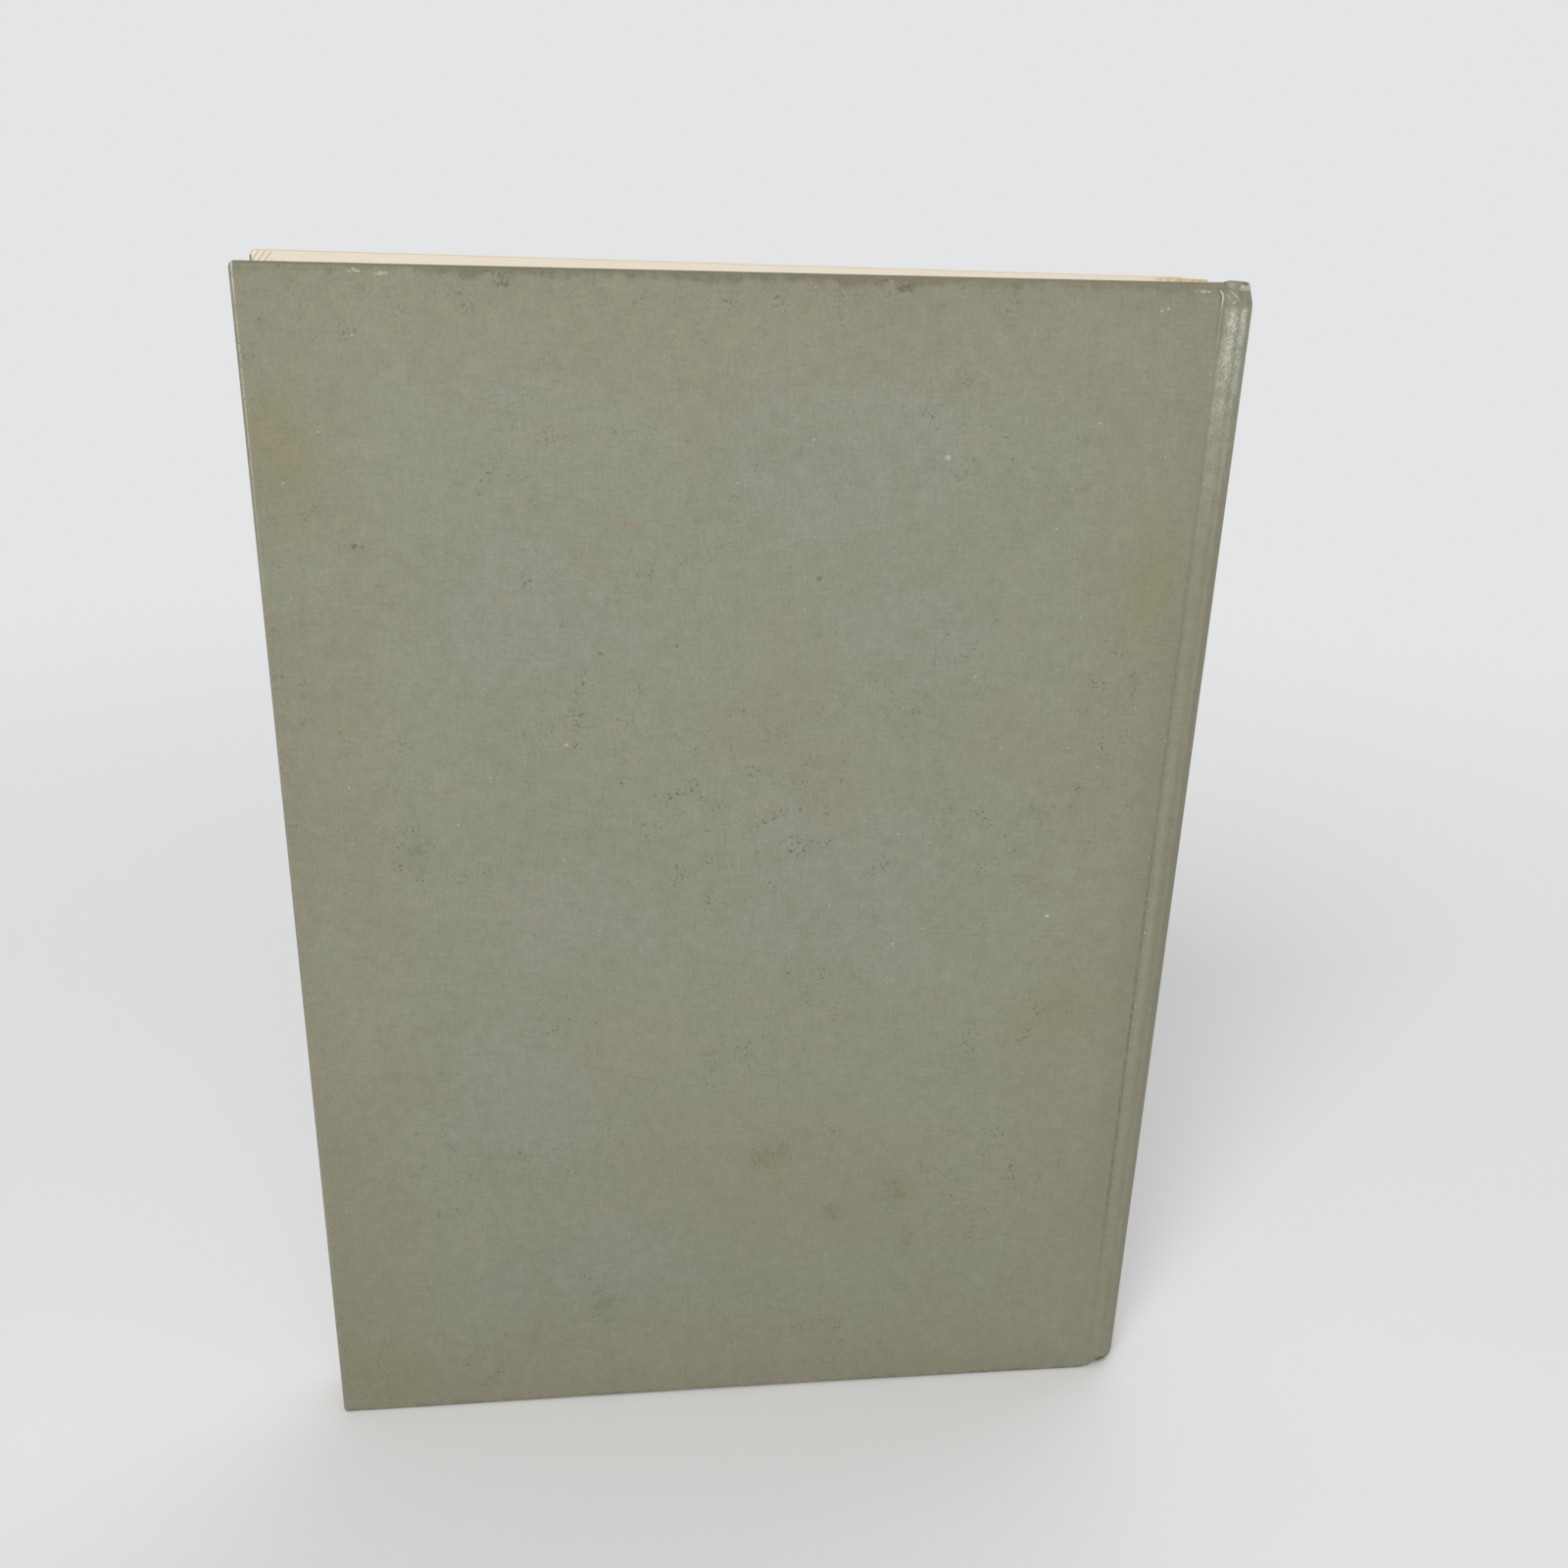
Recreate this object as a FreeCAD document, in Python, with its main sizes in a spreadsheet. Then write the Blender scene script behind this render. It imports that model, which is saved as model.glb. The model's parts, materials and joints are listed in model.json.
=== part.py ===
import FreeCAD, Part
import os
import re

# A cloth-cased hardback book, standing on its tail edge.
# X runs from the fore-edge to the spine, Y from the back cover to the front cover, Z up the book.
# Distances called near and far are counted from the middle plane of the text block.

doc = FreeCAD.newDocument("Book")
dims = doc.addObject("Spreadsheet::Sheet", "Dims")

# Driving sizes in millimetres, angles in degrees, and how many outer leaves and sections there are.
SIZES = {
    "case_height": 260, "case_width": 190, "case_depth": 15.5,
    "cloth_sheet": 0.35, "board_card": 2.2, "turn_over": 15,
    "drop_fore": 2, "drop_joint": 0.6, "front_inset": 1.2,
    "joint_board": 8, "joint_line": 6.2, "joint_slit": 0.1, "joint_sink": 0.55,
    "shoulder_run": 4, "shoulder_drop": 0.2, "shoulder_wall": 0.45,
    "spine_card": 0.6, "spine_hollow": 0.5, "inlay_angle": 43.5,
    "end_paper": 0.15, "paste_margin": 0.4, "paste_head": 0.1,
    "mull_gauze": 0.25, "mull_margin": 20, "mull_flange": 25, "lining_paper": 0.2, "fold_angle": 30,
    "tape_web": 0.3, "tape_width": 12, "tape_low": 65, "tape_middle": 130, "tape_high": 195,
    "kettle_margin": 18, "thread_radius": 0.14, "thread_angle": 27, "stitch_gap": 0.6,
    "square_head": 3, "page_width": 184, "section_air": 0.07,
    "leaf_paper": 0.12, "leaf_pitch": 0.2, "bend_near": 10.25, "bend_step": 1.75, "bend_slit": 0.2,
    "glue_line": 0.02, "page_air": 0.03, "card_fit": 0.1, "cover_play": 0.12, "stub_back": 1,
    "seam_lap": 0.1, "cut_past": 1, "past_angle": 1,
}
LEAVES = 3
SECTIONS = 8

# Sizes that follow from them.
WORKED = {
    "spine_x": "case_width / 2",
    "fore_back": "-case_width / 2",
    "fore_front": "fore_back + front_inset",
    "face_out": "case_depth / 2",
    "board_out": "face_out - cloth_sheet - glue_line",
    "board_in": "board_out - board_card",
    "layer_out": "board_in - glue_line",
    "layer_in": "layer_out - cloth_sheet",
    "paste_out": "layer_in - glue_line",
    "paste_in": "paste_out - end_paper",
    "block_half": "paste_in - cover_play",
    "fly_in": "block_half - end_paper",
    "leaf_top": "fly_in - page_air",
    "sewn_half": f"leaf_top - {LEAVES} * leaf_pitch - page_air",
    "section_pitch": f"2 * sewn_half / {SECTIONS}",
    "section_thick": "section_pitch - section_air",
    "groove_out": "face_out - joint_sink",
    "groove_in": "groove_out - cloth_sheet",
    "step_x": "spine_x - joint_board",
    "line_x": "spine_x - joint_line",
    "shoulder_x": "spine_x - shoulder_run",
    "spine_half": "face_out - shoulder_drop",
    "spine_radius": "(spine_half ^ 2 + shoulder_run ^ 2) / (2 * shoulder_run)",
    "spine_centre": "spine_x - spine_radius",
    "spine_angle": "asin(spine_half / spine_radius) / 1deg",
    "inlay_out": "spine_radius - cloth_sheet - glue_line",
    "inlay_in": "inlay_out - spine_card",
    "lap_out": "inlay_in - glue_line",
    "lap_in": "lap_out - cloth_sheet",
    "lining_out": "inlay_in - spine_hollow",
    "lining_in": "lining_out - lining_paper",
    "mull_out": "lining_in - glue_line",
    "mull_in": "mull_out - mull_gauze",
    "tape_out": "mull_in - glue_line",
    "tape_in": "tape_out - tape_web",
    "fold_radius": "tape_in - page_air - section_thick / 2",
    "page_low": "square_head",
    "page_high": "case_height - square_head",
}

cells = [(name, str(size)) for name, size in SIZES.items()]
cells += [(name, "=" + rule) for name, rule in WORKED.items()]
for row, (name, content) in enumerate(cells, start=1):
    dims.set(f"A{row}", name)
    dims.set(f"B{row}", content)
    dims.setAlias(f"B{row}", name)
doc.recompute()

NAMES = re.compile(r"\b(" + "|".join(name for name, _ in cells) + r")\b")
SIDES = ("back", "front")
PIECES = []


def bind(obj, **rules):
    """Tie properties of an object to the sheet; two underscores stand for the dot in a property's path."""
    for prop, rule in rules.items():
        obj.setExpression(prop.replace("__", "."), NAMES.sub(r"Dims.\1", rule))
    return obj


def place(obj, x="0", y="0", z="0", turn="0"):
    """Tie an object's place, and its turn about Z in degrees, to the sheet."""
    obj.Placement = FreeCAD.Placement(FreeCAD.Vector(0, 0, 0), FreeCAD.Rotation(FreeCAD.Vector(0, 0, 1), 0))
    bind(obj, Placement__Base__x=x, Placement__Base__y=y, Placement__Base__z=z)
    bind(obj, Placement__Rotation__Angle=turn)
    return obj


def block(name, x0, x1, y0, y1, z0, z1):
    """A plain block between two values along each axis."""
    b = doc.addObject("Part::Box", name)
    bind(b, Length=f"({x1}) - ({x0})", Width=f"({y1}) - ({y0})", Height=f"({z1}) - ({z0})")
    return place(b, x0, y0, z0)


def slab(name, side, x0, x1, near, far, z0, z1):
    """A block on one side of the book, between two distances from the middle plane."""
    if side == "front":
        return block(name, x0, x1, near, far, z0, z1)
    return block(name, x0, x1, f"-({far})", f"-({near})", z0, z1)


def sloped_slab(name, side, x0, x1, near, far, z0, top0, top1):
    """A slab whose head runs straight from top0 at the fore-edge to top1 at the joint."""
    w = doc.addObject("Part::Wedge", name)
    low, high = (f"-({far})", f"-({near})") if side == "front" else (near, far)
    bind(w, Xmin=low, Xmax=high, X2min=low, X2max=high, Ymin=x0, Ymax=x1)
    bind(w, Zmin=z0, Z2min=z0, Zmax=top0, Z2max=top1)
    return place(w, turn="-90")


def sector(name, radius, reach, z0, z1):
    """A sector of a cylinder about the spine's centre line, reaching as many degrees to each side."""
    c = doc.addObject("Part::Cylinder", name)
    bind(c, Radius=radius, Height=f"({z1}) - ({z0})", Angle=f"2 * ({reach})")
    return place(c, x="spine_centre", z=z0, turn=f"-({reach})")


def join(name, *shapes):
    """Some shapes made one."""
    f = doc.addObject("Part::MultiFuse", name)
    f.Shapes = list(shapes)
    f.Refine = True
    return f


def cut(name, base, *tools):
    """One shape less some others."""
    c = doc.addObject("Part::Cut", name)
    c.Base = base
    c.Tool = tools[0] if len(tools) == 1 else join(name + "_tools", *tools)
    c.Refine = True
    return c


def strip(name, outer, inner, reach, z0, z1):
    """A curved strip about the spine's centre line."""
    drum = sector(name + "_drum", outer, reach, z0, z1)
    core = sector(name + "_core", inner, f"({reach}) + past_angle", f"{z0} - cut_past", f"{z1} + cut_past")
    return cut(name, drum, core)


def keep(obj, label):
    """Name a finished piece; its label is its file's name."""
    obj.Label = label
    PIECES.append(obj)


def cover(side):
    """One cover: cloth with its turn-ins, board, in-fill card, gauze flange and pastedown."""
    fore = "fore_" + side
    fore_top = "case_height - drop_fore" if side == "back" else "case_height"
    joint_top = "case_height - drop_joint" if side == "back" else "case_height"
    board_edge = "step_x - cloth_sheet"
    inset = "(cloth_sheet + glue_line)"
    window_top = "case_height - drop_fore - turn_over"

    case = sloped_slab(side + "_case", side, fore, "step_x", "layer_in", "face_out",
                       "0", fore_top, joint_top)
    pocket = sloped_slab(side + "_pocket", side, f"{fore} + cloth_sheet", board_edge, "layer_out",
                         "board_out + glue_line", "cloth_sheet", f"{fore_top} - cloth_sheet",
                         f"{joint_top} - cloth_sheet")
    window = slab(side + "_window", side, f"{fore} + turn_over", "step_x + cut_past", "layer_in - cut_past",
                  "layer_out + seam_lap", "turn_over", window_top)
    bare_edge = slab(side + "_bare_edge", side, board_edge, "step_x + cut_past", "layer_in - cut_past",
                     "groove_in", "-cut_past", "case_height + cut_past")
    wrap = cut(side + "_wrap", case, pocket, window, bare_edge)
    groove = slab(side + "_groove", side, "step_x - seam_lap", "line_x - joint_slit",
                  "groove_in", "groove_out", "0", joint_top)
    keep(join(side + "_sheet", wrap, groove), side + "_cloth")

    card = sloped_slab(side + "_card", side, f"{fore} + {inset}", f"step_x - {inset}",
                       "board_in", "board_out", inset, f"{fore_top} - {inset}", f"{joint_top} - {inset}")
    keep(card, side + "_board")

    flange_x = f"{board_edge} - mull_flange"
    fill = slab(side + "_fill_card", side, f"{fore} + turn_over + card_fit", f"{flange_x} - card_fit",
                "layer_in + glue_line", "layer_out - glue_line",
                "turn_over + card_fit", f"{window_top} - card_fit")
    keep(fill, side + "_infill")
    gauze = slab(side + "_gauze", side, flange_x, f"{board_edge} - card_fit",
                 "layer_out - glue_line - mull_gauze", "layer_out - glue_line",
                 "mull_margin", "case_height - mull_margin")
    keep(gauze, side + "_mull_flange")
    lining = sloped_slab(side + "_lining", side, f"{fore} + paste_margin", f"{board_edge} - card_fit",
                         "paste_in", "paste_out", "paste_margin",
                         f"{fore_top} - paste_head", f"{joint_top} - paste_head")
    keep(lining, side + "_pastedown")


def case_spine():
    """The case's spine: a round shell of cloth with turn-ins and shoulders, and the card inside it."""
    sheet = [strip("spine_round", "spine_radius", "spine_radius - cloth_sheet", "spine_angle",
                   "0", "case_height")]
    tail = ("0", "turn_over", "cloth_sheet", "turn_over + cut_past")
    head = ("case_height - turn_over", "case_height", "case_height - turn_over - cut_past",
            "case_height - cloth_sheet")
    for end, (z0, z1, slot0, slot1) in (("tail", tail), ("head", head)):
        fold = strip("spine_fold_" + end, "inlay_out + glue_line + seam_lap", "lap_in", "inlay_angle", z0, z1)
        slot = strip("spine_slot_" + end, "inlay_out + glue_line", "lap_out", "inlay_angle + past_angle",
                     slot0, slot1)
        sheet.append(cut("spine_turn_" + end, fold, slot))
    for side in SIDES:
        sheet.append(slab("shoulder_" + side, side, "shoulder_x - shoulder_wall", "shoulder_x",
                          "groove_in", "spine_half - seam_lap", "0", "case_height"))
        sheet.append(slab("spine_groove_" + side, side, "line_x + joint_slit",
                          "shoulder_x - shoulder_wall + seam_lap",
                          "groove_in", "groove_out", "0", "case_height"))
    keep(join("spine_sheet", *sheet), "spine_cloth")
    keep(strip("spine_strip", "inlay_out", "inlay_in", "inlay_angle", "cloth_sheet + glue_line",
               "case_height - cloth_sheet - glue_line"), "spine_inlay")


def block_back():
    """The back of the text block: paper lining, gauze, tapes, and thread over the folds."""
    paper = strip("back_paper", "lining_out", "lining_in", "fold_angle", "page_low", "page_high")
    keep(paper, "spine_lining")
    gauze = strip("back_gauze", "mull_out", "mull_in", "fold_angle",
                  "mull_margin", "case_height - mull_margin")
    keep(gauze, "mull")
    stations = ["kettle_margin", "case_height - kettle_margin"]
    for level in ("tape_low", "tape_middle", "tape_high"):
        low, high = f"{level} - tape_width / 2", f"{level} + tape_width / 2"
        keep(strip("web_" + level, "tape_out", "tape_in", "fold_angle", low, high), "sewing_" + level)
        stations += [f"{low} - stitch_gap", f"{high} + stitch_gap"]
    threads = []
    for n, level in enumerate(stations):
        t = doc.addObject("Part::Torus", f"thread_{n}")
        bind(t, Radius1="(tape_in + tape_out) / 2", Radius2="thread_radius", Angle3="2 * thread_angle")
        threads.append(place(t, x="spine_centre", z=level, turn="-thread_angle"))
    keep(join("thread_set", *threads), "sewing_thread")


def fold_at(middle):
    """Where the fold of a section lies on the round of the spine, from the section's middle."""
    return f"(spine_centre + sqrt(fold_radius ^ 2 - ({middle}) ^ 2))"


def bend_at(order):
    """Where a leaf or section bends: counted from the flyleaf inwards, each a step further from the spine."""
    return f"(spine_x - bend_near - {order} * bend_step)"


def sections():
    """Sewn sections stepped along the spine's round: each a bound fold and the leaves that turn from it."""
    for n in range(1, SECTIONS + 1):
        middle = f"({(SECTIONS + 1) / 2 - n}) * section_pitch"
        y0, y1 = f"{middle} - section_thick / 2", f"{middle} + section_thick / 2"
        fold = fold_at(middle)
        depth = min(n, SECTIONS + 1 - n)
        bend = bend_at(LEAVES + depth)
        back = doc.addObject("Part::Cylinder", f"fold_round_{n}")
        bind(back, Radius="section_thick / 2", Height="page_high - page_low")
        place(back, fold, middle, "page_low")
        flat = block(f"fold_slab_{n}", f"{bend} + bend_slit", fold, y0, y1, "page_low", "page_high")
        bound = [flat, back]
        if depth == 1:
            side = "front" if n == 1 else "back"
            for k in range(LEAVES):
                bound.append(slab(f"{side}_bound_{k + 1}", side, f"{bend_at(k + 1)} + bend_slit", fold,
                                  f"{(SECTIONS - 1) / 2} * section_pitch", f"leaf_top - {k} * leaf_pitch",
                                  "page_low", "page_high"))
        keep(join(f"fold_{n}", *bound), f"section_{n}_fold")
        leaves = block(f"leaf_stack_{n}", f"{fold} + section_thick / 2 - page_width", f"{bend} - bend_slit",
                       y0, y1, "page_low", "page_high")
        keep(leaves, f"section_{n}_leaves")


def outer_leaves(side):
    """A flyleaf with its tipped strip, and the outer leaves that turn after it."""
    fold = fold_at(f"{(SECTIONS - 1) / 2} * section_pitch")
    fore = f"{fold} + section_thick / 2 - page_width"
    tipped = slab(side + "_tipped", side, f"{bend_at(0)} + bend_slit", f"{fold} - stub_back",
                  "fly_in", "block_half", "page_low", "page_high")
    keep(tipped, side + "_flyleaf_stub")
    free_end = slab(side + "_free_end", side, fore, f"{bend_at(0)} - bend_slit",
                    "fly_in", "block_half", "page_low", "page_high")
    keep(free_end, side + "_flyleaf")
    for k in range(1, LEAVES + 1):
        middle = f"(leaf_top - {k - 0.5} * leaf_pitch)"
        sheet = slab(f"{side}_sheet_{k}", side, fore, f"{bend_at(k)} - bend_slit",
                     f"{middle} - leaf_paper / 2", f"{middle} + leaf_paper / 2", "page_low", "page_high")
        keep(sheet, f"{side}_leaf_{k}")


for side in SIDES:
    cover(side)
case_spine()
block_back()
sections()
for side in SIDES:
    outer_leaves(side)

doc.recompute()
for obj in doc.Objects:
    if "Invalid" in obj.State or "Error" in obj.State:
        raise RuntimeError(f"{obj.Name} did not build: {obj.State}")
for obj in PIECES:
    if obj.Shape.isNull() or not obj.Shape.isValid() or not obj.Shape.Solids:
        raise RuntimeError(f"{obj.Label} has no valid solid")

os.makedirs("parts", exist_ok=True)
for obj in PIECES:
    obj.Shape.exportStep(f"parts/{obj.Label}.step")
    b = obj.Shape.BoundBox
    print(f"{obj.Label:18s} solids {len(obj.Shape.Solids)} volume {obj.Shape.Volume:9.1f} mm3  "
          f"x {b.XMin:7.2f} {b.XMax:7.2f}  y {b.YMin:6.2f} {b.YMax:6.2f}  z {b.ZMin:6.2f} {b.ZMax:6.2f}")
print(len(PIECES), "pieces")
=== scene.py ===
# %% [markdown]
# # A hardback book in worn cloth
#
# The object is a thin case-bound book that stands on its tail edge. Its case is one sheet of olive-grey
# cloth glued over two boards and a soft round spine; inside are sewn sections of folded paper. The solids
# are already made and packed, so this script only dresses them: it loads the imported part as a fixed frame,
# builds cloth and paper around it, and lights it.

# %% Load the frame
import json
import math
from types import SimpleNamespace

import bmesh
import bpy
import numpy as np
from mathutils import Matrix, Vector, noise


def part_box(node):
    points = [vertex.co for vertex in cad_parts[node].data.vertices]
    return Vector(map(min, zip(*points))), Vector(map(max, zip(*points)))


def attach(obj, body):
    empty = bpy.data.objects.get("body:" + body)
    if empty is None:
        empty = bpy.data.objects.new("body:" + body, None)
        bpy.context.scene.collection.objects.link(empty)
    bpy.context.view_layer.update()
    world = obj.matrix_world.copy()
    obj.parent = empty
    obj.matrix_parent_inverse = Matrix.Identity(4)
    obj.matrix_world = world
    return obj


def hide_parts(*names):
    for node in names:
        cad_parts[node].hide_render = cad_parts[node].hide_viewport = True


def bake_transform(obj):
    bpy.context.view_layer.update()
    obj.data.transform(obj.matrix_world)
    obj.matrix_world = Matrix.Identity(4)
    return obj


MM = 0.001
SIDES = {"back": -1, "front": 1}
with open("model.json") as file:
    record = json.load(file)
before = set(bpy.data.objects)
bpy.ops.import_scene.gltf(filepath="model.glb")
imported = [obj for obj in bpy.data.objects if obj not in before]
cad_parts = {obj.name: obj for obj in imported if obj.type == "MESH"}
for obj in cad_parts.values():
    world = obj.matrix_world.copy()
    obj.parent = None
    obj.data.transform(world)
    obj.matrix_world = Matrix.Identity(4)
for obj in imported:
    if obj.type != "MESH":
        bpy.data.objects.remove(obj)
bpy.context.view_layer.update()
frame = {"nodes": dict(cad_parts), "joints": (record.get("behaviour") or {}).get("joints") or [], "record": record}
hinge_place = {joint["name"]: Vector(joint["pos_m"]) for joint in frame["joints"]}

# %% [markdown]
# ## A shorthand for node trees
#
# Materials and Geometry Nodes are both trees of nodes, and long trees are hard to read when every link is
# written out. One small class wraps a socket: arithmetic on it adds Math nodes, so a mask reads like a
# sum, and its node method adds any other node, sets it up and links what it is given.


# %% The wrapped socket
class Wire:
    """One socket of a node tree. Arithmetic on it adds Math nodes; node() adds any other node."""

    def __init__(self, tree, socket=None):
        self.tree = tree
        self.socket = socket

    def node(self, kind, sockets=None, out=0, **settings):
        made = self.tree.nodes.new(kind)
        for name, value in settings.items():
            setattr(made, name, value)
        for key, value in (sockets or {}).items():
            if isinstance(value, Wire):
                self.tree.links.new(value.socket, made.inputs[key])
            else:
                made.inputs[key].default_value = value
        return Wire(self.tree, made.outputs[out] if made.outputs else None)

    def math(self, operation, *terms):
        return self.node("ShaderNodeMath", dict(enumerate(terms)), operation=operation)

    def __add__(self, other):
        return self.math("ADD", self, other)

    def __sub__(self, other):
        return self.math("SUBTRACT", self, other)

    def __rsub__(self, other):
        return self.math("SUBTRACT", other, self)

    def __mul__(self, other):
        return self.math("MULTIPLY", self, other)

    def __truediv__(self, other):
        return self.math("DIVIDE", self, other)

    def __abs__(self):
        return self.math("ABSOLUTE", self)

    __radd__ = __add__
    __rmul__ = __mul__

    def least(self, other):
        return self.math("MINIMUM", self, other)

    def most(self, other):
        return self.math("MAXIMUM", self, other)

    def sine(self):
        return self.math("SINE", self)

    def axis(self, index):
        """One axis of a coordinate."""
        return self.node("ShaderNodeSeparateXYZ", {"Vector": self}, out=index)

    def rise(self, low, high):
        """0 below low, 1 above high and smooth between them; with low above high it falls instead."""
        return self.node("ShaderNodeMapRange", {"Value": self, "From Min": low, "From Max": high},
                         interpolation_type="SMOOTHSTEP")

    def band(self, middle, half):
        """1 on a line and 0 from half a width away."""
        return abs(self - middle).rise(half, 0)

    def tint(self, under, over):
        """Lay one colour over another with this mask."""
        return self.node("ShaderNodeMix", {0: self, 6: under, 7: over}, out=2, data_type="RGBA")


def colour(red, green, blue):
    """A colour as read off a screen, 0 to 255, made linear."""
    linear = []
    for value in (red, green, blue):
        share = value / 255
        linear.append(share / 12.92 if share <= 0.04045 else ((share + 0.055) / 1.055) ** 2.4)
    return (*linear, 1.0)


def cloudy(where, size, detail=3, rough=0.5, out=0):
    """Soft noise with patches of about the given size, in the unit of the place."""
    cells = {"Vector": where, "Scale": 1 / size, "Detail": detail, "Roughness": rough}
    return where.node("ShaderNodeTexNoise", cells, out)


def stretched(where, scale=(1, 1, 1), shift=(0, 0, 0)):
    """A coordinate with its axes scaled and shifted."""
    return where.node("ShaderNodeMapping", {"Vector": where, "Scale": scale, "Location": shift})


def wandering(where, size, reach):
    """A coordinate whose places wander, in cells of a size and by up to about a third of a reach."""
    drift = cloudy(where, size, 5, 0.65, out="Color")
    drift = where.node("ShaderNodeVectorMath", {0: drift, 1: (0.5, 0.5, 0.5)}, operation="SUBTRACT")
    terms = {0: drift, 1: (reach, reach, 0), 2: where}
    return where.node("ShaderNodeVectorMath", terms, operation="MULTIPLY_ADD")


def scaled(paint, tone):
    """A colour made lighter or darker by a wire around 1."""
    return paint.node("ShaderNodeVectorMath", {0: paint, "Scale": tone}, operation="SCALE")


def layered(paint, *layers):
    """Colours laid over a paint in turn, each given as its strength, its mask and the colour."""
    for strength, mask, over in layers:
        paint = (strength * mask).tint(paint, over)
    return paint


def matt(paint, roughness, height, relief, strength=0.5, shine=0.5):
    """A plain surface with a colour, a roughness and a bump whose relief is in metres."""
    bump = paint.node("ShaderNodeBump", {"Strength": strength, "Distance": relief, "Height": height})
    return paint.node("ShaderNodeBsdfPrincipled", {"Base Color": paint, "Roughness": roughness,
                                                   "Normal": bump, "Specular IOR Level": shine})


def emptied(owner):
    """The node tree of a material or a world, cleared."""
    owner.use_nodes = True
    owner.node_tree.nodes.clear()
    return Wire(owner.node_tree)


def material(name, shade, *settings, **options):
    """A material whose shade function gets the empty tree and its settings, and returns the surface."""
    made = bpy.data.materials.new(name)
    start = emptied(made)
    start.node("ShaderNodeOutputMaterial", {"Surface": shade(start, *settings, **options)})
    return made


def linked(name, data):
    """A new object in the scene."""
    made = bpy.data.objects.new(name, data)
    bpy.context.scene.collection.objects.link(made)
    return made


print("socket wrapper and paint helpers ready")

# %% [markdown]
# ## Book cloth
#
# Book cloth is a plain weave filled with starch and colour. On the flat boards the filling hides most of
# the weave; over the joint and the spine, handling has polished it, so the threads show there and shine;
# that shine is painted into the colour as pale strokes. Years of hands leave a browner border, a greener
# middle, dark specks where the filling has lifted, pale rubbed edges and grime along the head. Shade is
# painted in too: lower on the cover, beside and in the joint's crease, over the spine, at the folds and
# the cap's edge near the head, and in the notch at the tail. The pattern follows the sheet, so it reads a
# UV map that measures the cloth: u from the fore-edge towards the spine, v up from the tail.
#
# Each effect is a mask between 0 and 1, and the masks are laid over each other from large to small. They
# count in millimetres on the sheet, and so do the marks that sit in one place, which are listed with their
# centre and half their width and height.

# %% The cloth's colours and marks
BROWN = colour(139, 136, 115)
GREEN = colour(137, 139, 118)
COOL = colour(138, 140, 126)
OLIVE = colour(134, 131, 99)
# The grime colour is dirt and also painted shade; the pale colour is wear and also painted highlights and glints.
GRIME_AND_SHADE = colour(92, 87, 65)
PALE_WEAR_AND_GLINT = colour(214, 212, 200)
BARE = colour(203, 196, 184)
# The colour of the front's head rim: rubbed tan, partly a painted highlight.
RUBBED_AND_LIT_RIM = colour(228, 210, 178)
WARM_PATCHES = ((99, 176, 20, 24), (108, 159, 15, 17), (73, 95, 24, 20), (92, 66, 50, 30),
                (124, 58, 34, 26), (152, 168, 20, 14), (166, 82, 26, 48), (86, 236, 13, 18),
                (66, 211, 12, 5), (141, 29, 9, 14), (150, 48, 26, 12))
COOL_PATCHES = ((51, 196, 32, 22), (45, 89, 24, 34), (114, 135, 40, 36), (108, 226, 44, 32),
                (60, 38, 40, 17), (40, 245, 22, 12), (126, 190, 22, 26), (60, 132, 24, 18),
                (160, 62, 12, 11))
GREEN_PATCHES = ((108, 98, 62, 26), (14, 94, 12, 22), (8, 121, 15, 9), (150, 140, 18, 16),
                 (177, 11, 12, 9), (168, 26, 11, 9), (8, 204, 11, 15), (122, 251, 30, 8), (166, 254, 18, 6))
OLIVE_STAINS = ((166, 104, 18, 13), (174, 201, 8, 22), (129, 57, 8, 8), (100, 66, 6, 5),
                (7, 224, 10, 22), (12, 11, 18, 14), (187, 255.6, 2.6, 2.4))
SOFT_STAINS = ((115, 51, 7, 4), (129, 55, 6, 8), (133, 42, 4, 8), (101, 68, 10, 6), (26, 144, 5, 7),
               (62, 27, 5, 13))
DARK_SMUDGES = ((18.3, 208, 2.6, 1.1), (107, 202, 1.0, 1.0), (64, 187, 0.6, 0.6), (79, 188.5, 0.5, 0.7),
                (121, 256.6, 3.0, 1.2), (48, 256.2, 3.0, 1.6), (105, 153, 0.6, 0.7))
PALE_SCUFFS = ((22, 257.4, 1.8, 0.6), (26.5, 257.0, 1.8, 0.6), (160, 127, 0.9, 0.6),
               (126, 121, 0.7, 0.6), (57, 168, 0.7, 0.6), (131, 226, 0.9, 1.0), (178.1, 257.3, 2.6, 0.5),
               (170.2, 253.7, 0.4, 0.5), (171.5, 254.0, 0.5, 0.5), (184.4, 255.5, 0.5, 0.5))
SPECK_PATCHES = ((90, 153, 40, 34), (62, 172, 24, 20), (150, 60, 24, 22), (170, 170, 12, 40),
                 (26, 144, 9, 12))
MARK_RIM = 0.2


def marks(where, places, waver, soft):
    """One mask for a list of marks, each a centre and two half sizes, with ragged rims."""
    found = None
    for u, v, half_u, half_v in places:
        near = stretched(where, (1 / half_u, 1 / half_v, 0), (-u / half_u, -v / half_v, 0))
        ball = near.node("ShaderNodeTexGradient", {"Vector": near}, out=1, gradient_type="SPHERICAL")
        mask = (ball * (1 + waver)).rise(MARK_RIM, MARK_RIM + soft)
        found = found.most(mask) if found else mask
    return found


print("stains, smudges and scuffs placed by hand:", len(SOFT_STAINS + DARK_SMUDGES + PALE_SCUFFS))

# %% Places on the cloth
COVER_RUN = 182.4
HEAD_LINE = {"back": (258.48 * MM, 258.85 * MM), "front": (260.0 * MM, 259.22 * MM)}
CAP_TOP = 258.95 * MM
CLOTH_SEED = {"back": 0, "front": 700}


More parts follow.
